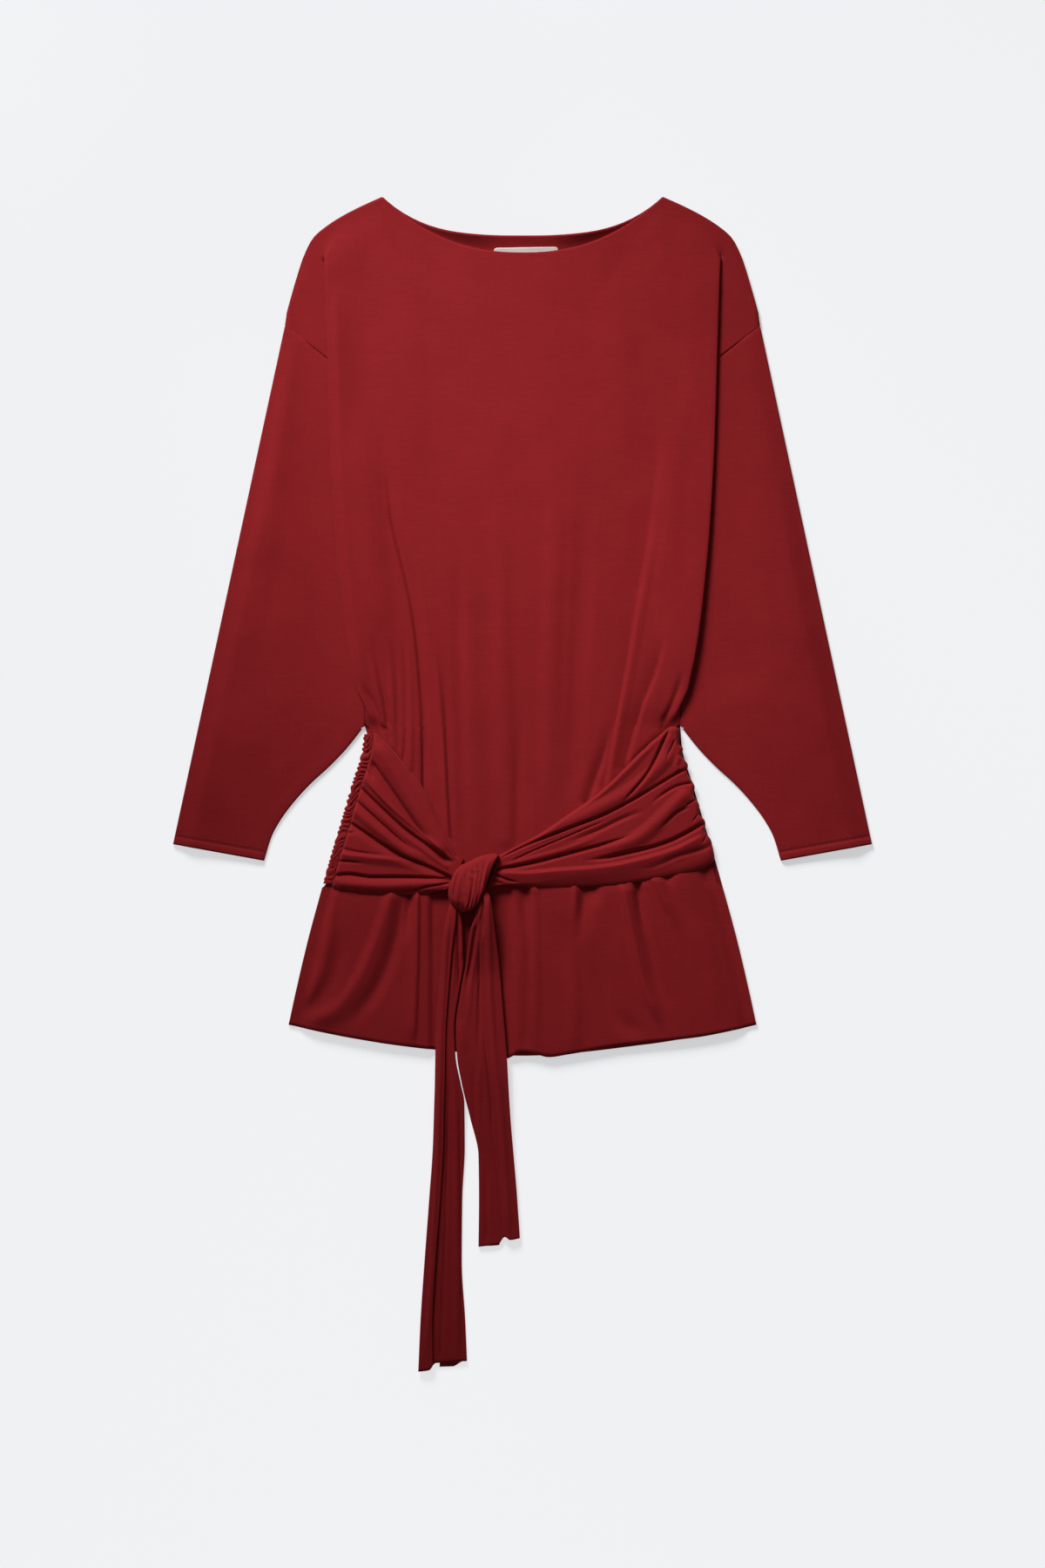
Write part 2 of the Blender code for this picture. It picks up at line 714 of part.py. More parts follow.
# Where the sleeve is sewn under the arm: heights of its inner edge, and how far up the
# outer arm the other end of each row lies.
SLEEVE_CLOSED = ((-74, 0), (-50, 24), (-25, 48), (0, 74), (20, 102), (38, 134), (56, 170))


SLEEVE_FRONT_SHARES = (0.14, 0.3, 0.48, 0.66, 0.84)
SLEEVE_BACK_SHARES = (0.66, 0.33)
TURN_ANGLES = (45, 90, 135)


def sleeve_rows():
    """Pairs of points at the inner and outer edge, from the cuff up to the seam, and
    whether the underarm seam closes the sleeve there."""
    top, cuff = ARMHOLE[0], CUFF_OUTER
    length = math.dist(top, cuff)
    rows = []

    def outer_at(distance):
        share = distance / length
        return np.array([cuff.x + share * (top.x - cuff.x), cuff.y + share * (top.y - cuff.y)])

    for y, distance in SLEEVE_CLOSED:
        rows.append((np.array([underarm_x(y), y]), outer_at(distance), True))
    start = SLEEVE_CLOSED[-1][1]
    for y in (*reversed(ARMHOLE_HEIGHTS[:-1]), YOKE_Y):
        share = (y - WAIST_Y) / (YOKE_Y - WAIST_Y)
        outer = outer_at(start + share * (length - start))
        rows.append((np.array([armhole_x(y), y]), outer, False))
    return rows


def build_sleeve(name, side):
    """A sleeve laid flat: one cloth folded at the outer arm and sewn under the arm.

    side is -1 for the wearer's right and +1 for the wearer's left.
    """
    turn = LAYER / 2
    points = {}
    rows = sleeve_rows()
    for row, (inner, outer, closed) in enumerate(rows):
        along = (outer - inner) / np.linalg.norm(outer - inner)
        if row == len(rows) - 1:
            across = np.array([along[1], -along[0]])
            inner, outer = inner + SEAM_GAP * across, outer + SEAM_GAP * across
        start = inner + along * ((CLOTH / 2 + turn) if closed else 2 * SEAM_GAP)
        end = outer - along * (CLOTH / 2 + turn)
        section = [(start, SLEEVE_TOP_Z)]
        for share in SLEEVE_FRONT_SHARES:
            place = start + share * (end - start)
            hidden = pleat_x(place[1]) if inner[1] > WAIST_Y else 0.0
            clear = ramp(4, 34, place[0] - hidden) * ramp(0, 30, math.dist(place, inner))
            loft = SLEEVE_LOFT * clear * ramp(0, 26, math.dist(place, outer))
            section.append((place, SLEEVE_TOP_Z + loft))
        section.append((end, SLEEVE_TOP_Z))
        for angle in TURN_ANGLES:
            bend = math.radians(angle)
            place = end + along * turn * math.sin(bend)
            section.append((place, BACK_Z + turn * (1 + math.cos(bend))))
        section.append((end, BACK_Z))
        for share in SLEEVE_BACK_SHARES:
            section.append((start + share * (end - start), BACK_Z))
        section.append((start, BACK_Z))
        if closed:
            for angle in TURN_ANGLES:
                bend = math.radians(angle)
                place = start - along * turn * math.sin(bend)
                section.append((place, BACK_Z + turn * (1 - math.cos(bend))))
        for column, (place, z) in enumerate(section):
            points[(row, column)] = (side * place[0], place[1], z)
    ends = 4
    shares = len(SLEEVE_FRONT_SHARES) + len(SLEEVE_BACK_SHARES)
    columns = shares + ends + 2 * len(TURN_ANGLES)
    return cloth(name, points, JERSEY, closed_columns=columns)


def pleated_height(pleats, r, q, width):
    """Height of the sash above its lowest level, r from seam to knot, q across."""
    places = [(1 - r) * pleat.at_seam + r * pleat.at_knot for pleat in pleats]
    shape = through(places, [pleat.height for pleat in pleats])
    steepest = PLEAT_STEEPNESS * width / len(pleats)
    return min(PLEAT_HEIGHT, steepest) * shape(q) * ramp(-0.1, 0.12, r)


def build_sash(name, upper, lower, pleats, scalloped):
    """Half of the sash, pleated, from the ruched side seam to the knot."""
    top, bottom = route(upper), route(lower)
    numbers = np.arange(len(pleats))
    at_seam = through(numbers, [pleat.at_seam for pleat in pleats])
    at_knot = through(numbers, [pleat.at_knot for pleat in pleats])
    inset = SEAM_TUCK if scalloped else BAND_WIDTH + BAND_TUCK
    sign = 1 if upper[0].x > 0 else -1
    points = {}
    for row in range(SASH_STEPS + 1):
        r = row / SASH_STEPS
        width = math.dist(top(r), bottom(r))
        for column in range(2 * len(pleats) - 1):
            q = (1 - r) * at_seam(column / 2) + r * at_knot(column / 2)
            place = (1 - q) * top(r) + q * bottom(r)
            seam_x = sign * (side_x(min(place[1], WAIST_Y)) - inset)
            if scalloped:
                crest = pleated_height(pleats, SCALLOP_SHARE, q, SEAM_WIDTH) / PLEAT_HEIGHT
                seam_x += sign * SEAM_SCALLOP * (crest - 1)
            pull = (1 - r) ** 6
            x = (1 - pull) * place[0] + pull * seam_x
            z = SASH_Z + pleated_height(pleats, r, q, width)
            points[(row, column)] = (x, place[1], z)
    return cloth(name, points, JERSEY)


def build_knot():
    """The knot: a band wrapped over the gathered sash, creased along its length."""
    mesh = bpy.data.meshes.new("sash_knot")
    shape = bmesh.new()
    rings = []
    across = np.array(KNOT_ACROSS)
    for ring in KNOT:
        corners = []
        for step in range(KNOT_SEGMENTS):
            angle = 2 * math.pi * step / KNOT_SEGMENTS
            crease = KNOT_CREASE_DEPTH * math.cos(2 * KNOT_CREASES * angle)
            crease *= max(math.sin(angle), 0) * ring.half_width / KNOT_WIDEST
            x, y = np.array([ring.x, ring.y]) + across * ring.half_width * math.cos(angle)
            rise = 0.5 + 0.5 * math.sin(angle)
            z = KNOT_Z + ring.height * rise**0.8 + crease
            corners.append(shape.verts.new([x * MM, y * MM, z * MM]))
        rings.append(corners)
    for one, other in zip(rings, rings[1:]):
        for step in range(KNOT_SEGMENTS):
            after = (step + 1) % KNOT_SEGMENTS
            shape.faces.new([one[step], one[after], other[after], other[step]])
    shape.faces.new(rings[0])
    shape.faces.new(rings[-1])
    bmesh.ops.recalc_face_normals(shape, faces=shape.faces)
    shape.to_mesh(mesh)
    shape.free()
    return add_object("sash_knot", mesh, JERSEY)


def build_tail(name, rows):
    """A tail of the sash, folded lengthwise in three layers. It lies on the skirt, then
    comes down over the hem to the ground."""
    heights = [row.y for row in rows]
    places = {
        column: through(heights, [getattr(row, column) for row in rows])
        for column in ("fold", "lap", "side", "under")
    }
    inset = CLOTH / 2 + LAYER / 2
    points = {}
    for row, y in enumerate(np.linspace(heights[0], heights[-1], TAIL_STEPS + 1)):
        fold, lap, side, under = (places[column](y) for column in places)
        sign = 1 if side > fold else -1
        rest = TAIL_OVER_SKIRT_Z * ramp(TAIL_DROP_END, TAIL_DROP_START, y)
        low = rest + CLOTH / 2
        main, high = low + LAYER, low + 2 * LAYER
        near_fold, near_side = fold + sign * inset, side - sign * inset
        section = [(lap, high), ((lap + near_fold) / 2, high), (near_fold, high)]
        section += half_turn(near_fold, high, -sign, -1)
        section += [(near_fold, main), ((2 * near_fold + near_side) / 3, main + TAIL_CROWN)]
        section += [((near_fold + 2 * near_side) / 3, main + TAIL_CROWN), (near_side, main)]
        section += half_turn(near_side, main, sign, -1)
        section += [(near_side, low), ((near_side + under) / 2, low), (under, low)]
        for column, (x, z) in enumerate(section):
            points[(row, column)] = (x, y, z)
    return cloth(name, points, JERSEY)


def half_turn(x, z, way, vertical):
    """Points of a half circle from (x, z) to the next layer, bulging towards way."""
    turn = LAYER / 2
    section = []
    for angle in TURN_ANGLES:
        bend = math.radians(angle)
        section.append(
            (x + way * turn * math.sin(bend), z + vertical * turn * (1 - math.cos(bend)))
        )
    return section


def build_label():
    """The bare neck label, sewn flat to the inside of the back."""
    mesh = bpy.data.meshes.new("neck_label")
    shape = bmesh.new()
    bmesh.ops.create_cube(shape, size=1)
    size = [LABEL_SIZE[0] * MM, LABEL_SIZE[1] * MM, LABEL_THICKNESS * MM]
    low = BACK_Z + CLOTH / 2 + SEAM_GAP
    bmesh.ops.scale(shape, vec=size, verts=shape.verts)
    upright = [edge for edge in shape.edges if edge.verts[0].co.xy == edge.verts[1].co.xy]
    bmesh.ops.bevel(shape, geom=upright, offset=LABEL_CORNER * MM, segments=3, affect="EDGES")
    shape.to_mesh(mesh)
    shape.free()
    label = add_object("neck_label", mesh, LABEL_SATIN)
    label.location = [
        LABEL_CENTRE.x * MM,
        LABEL_CENTRE.y * MM,
        (low + LABEL_THICKNESS / 2) * MM,
    ]
    return label


def main():
    """Builds every sub-part of the dress."""
    for old in list(bpy.data.objects):
        bpy.data.objects.remove(old)
    build_back()
    build_front()
    build_sleeve("sleeve_right", -1)
    build_sleeve("sleeve_left", 1)
    build_sash("sash_right", RIGHT_SASH_UPPER, RIGHT_SASH_LOWER, RIGHT_PLEATS, False)
    build_sash("sash_left", LEFT_SASH_UPPER, LEFT_SASH_LOWER, LEFT_PLEATS, True)
    build_knot()
    build_tail("tail_long", LONG_TAIL)
    build_tail("tail_short", SHORT_TAIL)
    build_label()


main()
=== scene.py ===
"""The looks of a mini dress in red jersey, laid flat on its back with the sash tied.

The neck points to +Y and the cloth lies on z = 0. Left and right are the wearer's, so the
wearer's right side is at -X. The forms are worked out in millimetres and become metres
where a mesh is made.
"""

from __future__ import annotations

import logging
import math
from collections.abc import Callable, Iterator, Mapping, Sequence
from dataclasses import dataclass
from enum import Enum
from typing import Any

import bpy
import numpy as np
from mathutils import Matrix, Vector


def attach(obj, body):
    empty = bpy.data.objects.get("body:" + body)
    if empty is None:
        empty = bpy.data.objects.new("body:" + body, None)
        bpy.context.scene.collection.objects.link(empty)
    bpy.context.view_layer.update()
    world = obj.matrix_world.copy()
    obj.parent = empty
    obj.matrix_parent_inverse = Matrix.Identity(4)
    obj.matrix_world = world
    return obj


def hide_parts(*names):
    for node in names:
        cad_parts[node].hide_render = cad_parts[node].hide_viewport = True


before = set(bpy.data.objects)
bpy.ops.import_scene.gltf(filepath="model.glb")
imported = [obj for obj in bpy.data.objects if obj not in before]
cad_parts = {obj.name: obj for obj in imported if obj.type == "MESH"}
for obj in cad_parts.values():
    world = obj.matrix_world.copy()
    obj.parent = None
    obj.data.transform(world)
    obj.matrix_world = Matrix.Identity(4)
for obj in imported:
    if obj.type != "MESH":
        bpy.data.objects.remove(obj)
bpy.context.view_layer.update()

LOG = logging.getLogger("mini_dress")
MM = 0.001

# Cloth and how its layers lie on each other, measured between the middles of the walls.
CLOTH = 1.2
SEAM_GAP = 0.3
LAYER = 2.0
BACK_Z = CLOTH / 2
FRONT_EDGE_Z = BACK_Z + CLOTH + SEAM_GAP
SLEEVE_TOP_Z = BACK_Z + LAYER
UNDERLAP_Z = SLEEVE_TOP_Z + CLOTH + 0.4
PLEAT_TOP_Z = UNDERLAP_Z + LAYER
PRESSED_Z = 2.5
SASH_Z = PRESSED_Z + CLOTH + 0.9

# Places along the dress, from the neck down, and across it.
NECK_Y = 566.0
YOKE_Y = 392.0
WAIST_Y = 56.0
CUFF_Y = -74.0
SASH_LOW_Y = -100.0
HEM_CORNER_Y = -232.0
NECK_HALF = 135.0
PLEAT_TOP_X = 191.0
FLAP_OUTER_X = 227.0
FLAP_INNER_X = 197.0
HEM_CORNER_X = 225.5

Array = np.ndarray
Points = Sequence[tuple[float, float]]
Span = tuple[float, float]
Colour = tuple[float, float, float]
Crowding = tuple[tuple[float, ...], tuple[float, ...]]

# The sash's edges from each side seam to the knot, as (x, y).
RIGHT_UPPER = (
    (-142.5, 52), (-126, 41), (-109, 17), (-92, -10), (-80, -36), (-68, -55), (-56.5, -73),
)
RIGHT_LOWER = ((-181.5, -97), (-168, -102), (-134, -107), (-101, -106), (-72.5, -101))
LEFT_UPPER = (
    (149.5, 52), (134, 55), (118, 44), (101, 25), (84, 4), (67, -13), (42, -31), (17, -48),
    (-22.5, -69),
)
LEFT_LOWER = (
    (184.5, -70), (151, -84), (118, -92), (84, -97), (50, -99), (17, -100), (-4, -98),
    (-20, -97), (-34.5, -99.5),
)
# Steps round a fold's half circle, without its ends.
TURN_ANGLES = np.radians((30, 60, 90, 120, 150))


class Curve:
    """A smooth function through given values that never overshoots them."""

    def __init__(self, knots: Sequence[float], values: Sequence[float]) -> None:
        """Sorts the knots and works out the slope at each.

        Args:
            knots: Where the values are given, in any order.
            values: The value at each knot.
        """
        order = np.argsort(knots)
        self.knots = np.asarray(knots, float)[order]
        self.values = np.asarray(values, float)[order]
        slope = np.diff(self.values) / np.diff(self.knots)
        product = slope[:-1] * slope[1:]
        total = np.where(product > 0, slope[:-1] + slope[1:], 1.0)
        inner = np.where(product > 0, 2 * product / total, 0.0)
        self.tangents = np.concatenate([slope[:1], inner, slope[-1:]])

    def __call__(self, place: Array | float) -> Array:
        """The values at the places, which are held between the first and last knot."""
        place = np.clip(place, self.knots[0], self.knots[-1])
        i = np.clip(np.searchsorted(self.knots, place) - 1, 0, len(self.knots) - 2)
        step = self.knots[i + 1] - self.knots[i]
        t = (place - self.knots[i]) / step
        rise = (3 - 2 * t) * t * t
        ends = (1 - t) * self.tangents[i] - t * self.tangents[i + 1]
        low, high = self.values[i], self.values[i + 1]
        return low + rise * (high - low) + t * (1 - t) * step * ends


class Route:
    """A smooth plane curve through points."""

    def __init__(self, points: Points) -> None:
        """Measures the route.

        Args:
            points: The (x, y) points that it passes, in millimetres.
        """
        places = np.asarray(points, float)
        steps = np.linalg.norm(np.diff(places, axis=0), axis=1)
        share = np.concatenate([[0], np.cumsum(steps)]) / steps.sum()
        self.length = float(steps.sum())
        self.x = Curve(share, places[:, 0])
        self.y = Curve(share, places[:, 1])

    def __call__(self, share: Array | float) -> Array:
        """The points at these shares of the route's length."""
        return np.stack([self.x(share), self.y(share)], axis=-1)


def ramp(start: float, end: float, place: Array | float) -> Array:
    """A soft step from 0 at start to 1 at end."""
    t = np.clip((np.asarray(place, float) - start) / (end - start), 0, 1)
    return t * t * (3 - 2 * t)


def refined(points: Sequence[tuple[float, ...]], steps: int) -> Array:
    """Points on a smooth curve through the given ones.

    Args:
        points: The points to pass, of any dimension.
        steps: How many steps to make between each two of them.

    Returns:
        An array with a row for each point.
    """
    given = np.asarray(points, float)
    index = np.arange(len(given))
    fine = np.linspace(0, len(given) - 1, (len(given) - 1) * steps + 1)
    return np.stack([Curve(index, column)(fine) for column in given.T], axis=-1)


@dataclass(frozen=True)
class Fold:
    """A ridge, or with a negative height a trough, along a route in the cloth.

    left and right are how far it reaches from the route, seen along it. crest is 2 for a
    rounded one and 1 or less for a creased one. fade gives the shares of its length over
    which it grows and dies away.
    """

    route: Points
    height: float
    left: float
    right: float
    crest: float = 2.0
    fade: tuple[float, float] = (0.25, 0.25)

    SEGMENTS = 14

    def lift(self, x: Array, y: Array) -> Array:
        """How far the fold lifts the cloth at points of the plane.

        Args:
            x: Places across the dress.
            y: Places along it.

        Returns:
            The lift at each point.
        """
        line = Route(self.route)(np.linspace(0, 1, self.SEGMENTS + 1))
        reach = max(self.left, self.right)
        low, high = line.min(axis=0) - reach, line.max(axis=0) + reach
        near = (x > low[0]) & (x < high[0]) & (y > low[1]) & (y < high[1])
        total = np.zeros_like(x)
        if not near.any():
            return total
        px, py = x[near], y[near]
        best = np.full(px.shape, np.inf)
        share = np.zeros_like(px)
        side = np.zeros_like(px)
        for k, (start, end) in enumerate(zip(line, line[1:])):
            step = end - start
            dx, dy = px - start[0], py - start[1]
            t = np.clip((dx * step[0] + dy * step[1]) / (step @ step), 0, 1)
            away = np.hypot(dx - t * step[0], dy - t * step[1])
            closer = away < best
            best = np.where(closer, away, best)
            share = np.where(closer, (k + t) / self.SEGMENTS, share)
            side = np.where(closer, step[0] * dy - step[1] * dx, side)
        width = np.where(side > 0, self.left, self.right)
        across = np.clip(best / width, 0, 1)
        grown = ramp(0, self.fade[0], share) * ramp(0, self.fade[1], 1 - share)
        total[near] = self.height * (1 - across**self.crest) ** 2 * grown
        return total


def lifted(folds: Sequence[Fold], x: Array, y: Array) -> Array:
    """The sum of what the folds lift the cloth at points of the plane."""
    total = np.zeros(np.broadcast(x, y).shape)
    for fold in folds:
        total += fold.lift(*np.broadcast_arrays(x, y))
    return total


@dataclass(frozen=True)
class Ripple:
    """Soft unevenness of the cloth, a sum of waves with random directions."""

    size: float
    height: float
    seed: int
    waves: int = 9
    spread: Span = (0.7, 1.5)

    def lift(self, x: Array, y: Array) -> Array:
        """The unevenness at points of the plane."""
        rng = np.random.default_rng(self.seed)
        total = np.zeros(np.broadcast(x, y).shape)
        for _ in range(self.waves):
            turn, phase = rng.uniform(0, 2 * math.pi, 2)
            pace = 2 * math.pi / (self.size * rng.uniform(*self.spread))
            total += np.sin(pace * (x * math.cos(turn) + y * math.sin(turn)) + phase)
        return self.height * total / math.sqrt(self.waves)


class Outline:
    """The outline of the dress laid flat, as half widths and heights."""

    shoulder_top = Curve(
        (135, 157, 176, 191, 202, 212, 218, 223, 227, 229),
        (566, 556, 546, 536, 526, 506, 487, 470, 455, 442),
    )
    armhole = Curve((442, 392, 300, 200, 100, 56), (229, 166, 163, 158, 152.5, 152))
    pleat = Curve(
        (536, 504, 420, 336, 252, 168, 126, 84, 56),
        (191, 190.5, 188, 185.5, 181, 173, 167, 158, 152),
    )
    side = Curve(
        (56, 34, 0, -34, -67, -92, -151, -202, -232),
        (152, 154, 164, 174, 184, 191, 207, 219, 225.5),
    )
    underarm = Curve(
        (-74, -50, -34, -17, 0, 17, 34, 56),
        (249, 241.5, 232.7, 220, 204.5, 186, 169.7, 152.3),
    )
    front_hem = Curve(
        (-225.5, -168, -118, -74, -20, -14, -4, 12, 25, 43, 94, 167, 211, 225.5),
        (
            -232, -244, -252, -257, -262, -264.5, -258.5, -260, -263, -260.5, -252, -244,
            -235.5, -232,
        ),
    )
    back_hem = Curve((-225.5, -120, 0, 120, 225.5), (-232, -251, -262, -251, -232))
    sash_top = Curve(*zip(*RIGHT_UPPER, *LEFT_UPPER))
    sash_low = Curve(*zip(*RIGHT_LOWER, *LEFT_LOWER))
    sleeve_top = (229.0, 442.0)
    seam_corner = (166.0, 392.0)
    cuff_outer = (337.0, -58.0)
    # how far each neckline dips in the middle, and how square its curve is
    front_neck: Span = (54.0, 2.35)
    back_neck: Span = (38.0, 3.3)

    @classmethod
    def _top(cls, x: Array, drop: float, power: float) -> Array:
        """Height of an upper outline: the neckline in the middle, then the shoulder."""
        neck = NECK_Y - drop * (1 - np.clip(np.abs(x) / NECK_HALF, 0, 1) ** power)
        return np.where(np.abs(x) >= NECK_HALF, cls.shoulder_top(np.abs(x)), neck)

    @classmethod
    def front_top(cls, x: Array) -> Array:
        """Height of the front's upper outline."""
        return cls._top(x, *cls.front_neck)

    @classmethod
    def back_top(cls, x: Array) -> Array:
        """Height of the back's upper outline."""
        return cls._top(x, *cls.back_neck)

    @classmethod
    def seam_point(cls, share: Array) -> Array:
        """Points on the straight part of the sleeve seam, from the outer arm inwards."""
        outer, inner = np.array(cls.sleeve_top), np.array(cls.seam_corner)
        return outer + np.asarray(share)[..., None] * (inner - outer)


def shell(
    name: str, grid: Array, thickness: float = CLOTH, wrapped: bool = False
) -> bpy.types.Object:
    """One layer of cloth as a thin closed wall.

    Args:
        name: The piece's name.
        grid: The wall's middle surface, rows by columns of (x, y, z) in millimetres. A
            point that is left out is nan, and so are the faces at it.
        thickness: The wall's thickness.
        wrapped: Whether the last column joins the first.

    Returns:
        The piece.
    """
    there = np.isfinite(grid[..., 0])
    number = np.full(there.shape, -1)
    number[there] = np.arange(there.sum())
    if wrapped:
        number = np.concatenate([number, number[:, :1]], axis=1)
    corners = (number[:-1, :-1], number[:-1, 1:], number[1:, 1:], number[1:, :-1])
    quads = np.stack(corners, axis=-1).reshape(-1, 4)
    quads = quads[(quads >= 0).all(axis=1)]
    used, renumbered = np.unique(quads, return_inverse=True)
    piece = solid(name, grid[there][used], renumbered.reshape(-1, 4).tolist())
    wall = piece.modifiers.new("Wall", "SOLIDIFY")
    wall.thickness = thickness * MM
    wall.offset = 0
    return piece


def solid(name: str, points: Array, faces: list[Sequence[int]]) -> bpy.types.Object:
    """A smooth shaded piece from points in millimetres and the faces between them."""
    mesh = bpy.data.meshes.new(name)
    mesh.from_pydata((np.asarray(points) * MM).tolist(), [], faces)
    mesh.validate()
    mesh.shade_smooth()
    piece = bpy.data.objects.new(name, mesh)
    bpy.context.scene.collection.objects.link(piece)
    return piece


def tube_faces(rings: int, sides: int) -> list[list[int]]:
    """The faces of a closed tube whose points go round it ring by ring."""
    faces = []
    for base in range(0, (rings - 1) * sides, sides):
        for k in range(sides):
            after = (k + 1) % sides
            faces.append([base + k, base + after, base + sides + after, base + sides + k])
    faces.append(list(range(sides))[::-1])
    faces.append(list(range((rings - 1) * sides, rings * sides)))
    return faces


def half_turn(x: float, z: float, way: float, radius: float) -> list[tuple[float, float]]:
    """A fold's half circle in a cross section, leading down, without its ends.

    Args:
        x: Where the fold starts, across.
        z: Its height there.
        way: The side it bulges to, -1 or 1.
        radius: Half of the height between the two layers.

    Returns:
        The (x, z) points.
    """
    return [
        (x + way * radius * math.sin(a), z - radius * (1 - math.cos(a))) for a in TURN_ANGLES
    ]


# --- finishes -----------------------------------------------------------------------------


class Value:
    """A number that varies over a surface; arithmetic on it adds Math nodes."""

    def __init__(self, shading: Shading, socket: bpy.types.NodeSocket) -> None:
        """Wraps an output socket of the material."""
        self.shading = shading
        self.socket = socket

    def _with(self, operation: str, *others: Value | float, swapped: bool = False) -> Value:
        """The result of a Math node on this value and others, in reverse if swapped."""
        values = [self, *others]
        if swapped:
            values.reverse()
        settings = {"operation": operation}
        return self.shading.node("ShaderNodeMath", settings, dict(enumerate(values)))

    def __add__(self, other: Value | float) -> Value:
        """Adds a value or number."""
        return self._with("ADD", other)

    __radd__ = __add__

    def __sub__(self, other: Value | float) -> Value:
        """Takes a value or number away."""
        return self._with("SUBTRACT", other)

    def __rsub__(self, other: float) -> Value:
        """This value taken from a number."""
        return self._with("SUBTRACT", other, swapped=True)

    def __mul__(self, other: Value | float) -> Value:
        """Multiplies by a value or number."""
        return self._with("MULTIPLY", other)

    __rmul__ = __mul__

    def __truediv__(self, other: Value | float) -> Value:
        """Divides by a value or number."""
        return self._with("DIVIDE", other)

    def __pow__(self, other: float) -> Value:
        """Raises to a power."""
        return self._with("POWER", other)

    def __rpow__(self, other: float) -> Value:
        """A number raised to this value."""
        return self._with("POWER", other, swapped=True)


@dataclass(frozen=True)
class Grain:
    """A noise, in blotches a metre along each axis, its finer layers and their strength.

    shift says how far it changes a shade and height how much it counts in the relief.
    """

    scale: tuple[float, float, float]
    detail: float = 1.0
    rough: float = 0.5
    shift: float = 0.0
    height: float = 0.0


class Shading:
    """The nodes of one material, ending in a Principled shader."""

    def __init__(self, name: str) -> None:
        """Makes a material with an empty Principled shader."""
        self.material = bpy.data.materials.new(name)
        self.material.use_nodes = True
        self.tree = self.material.node_tree
        self.shader = self.tree.nodes["Principled BSDF"]

    def node(
        self,
        kind: str,
        settings: Mapping[str, Any],
        inputs: Mapping[str | int, Any],
        output: str | int = 0,
    ) -> Value:
        """Adds a node.

        Args:
            kind: The node's type.
            settings: Its properties, set first.
            inputs: The value or link of each socket, by identifier, name or number.
            output: The output to use, by identifier or number.

        Returns:
            The output as a value.
        """
        made = self.tree.nodes.new(kind)
        for key, setting in settings.items():
            setattr(made, key, setting)
        for key, value in inputs.items():
            self._feed(self._socket(made.inputs, key), value)
        return Value(self, self._socket(made.outputs, output))

    def _socket(self, sockets: Any, key: str | int) -> bpy.types.NodeSocket:
        """The socket with that number, identifier or name."""
        if isinstance(key, int):
            return sockets[key]
        exact = [socket for socket in sockets if socket.identifier == key]
        return exact[0] if exact else sockets[key]

    def _feed(self, socket: bpy.types.NodeSocket, value: Any) -> None:
        """Links a value to a socket, or sets the socket to a constant."""
        if isinstance(value, Value):
            self.tree.links.new(value.socket, socket)
        else:
            socket.default_value = value

    def surface(self, **inputs: Any) -> bpy.types.Material:
        """Sets the shader's sockets, named in lower case with underscores."""
        found = self.shader.inputs
        sockets = {socket.name.lower().replace(" ", "_"): socket for socket in found}
        for key, value in inputs.items():
            self._feed(sockets[key], value)
        return self.material

    def place(self) -> Value:
        """Points of the surface in the dress's own frame, in metres."""
        return self.node("ShaderNodeTexCoord", {}, {}, "Object")

    def vector(self, operation: str, *inputs: Value | Sequence[float]) -> Value:
        """The result of a Vector Math node, a number for a product or length."""
        output = "Value" if operation in ("DOT_PRODUCT", "LENGTH") else "Vector"
        return self.node(
            "ShaderNodeVectorMath", {"operation": operation}, dict(enumerate(inputs)), output
        )

    def noise(self, grain: Grain) -> Value:
        """Noise from 0 to 1."""
        inputs = {
            "Vector": self.vector("MULTIPLY", self.place(), grain.scale),
            "Scale": 1.0,
            "Detail": grain.detail,
            "Roughness": grain.rough,
        }
        return self.node("ShaderNodeTexNoise", {}, inputs)

    def blend(self, factor: Value, low: Sequence[float], high: Sequence[float]) -> Value:
        """A colour between two, by a factor from 0 to 1."""
        inputs = {"Factor_Float": factor, "A_Color": (*low, 1), "B_Color": (*high, 1)}
        return self.node(
            "ShaderNodeMix", {"data_type": "RGBA", "clamp_factor": True}, inputs, "Result_Color"
        )

    def bump(self, height: Value, strength: float, distance: float) -> Value:
        """A normal bent by a height, in metres at full strength."""
        inputs = {"Height": height, "Strength": strength, "Distance": distance}
        return self.node("ShaderNodeBump", {}, inputs, "Normal")


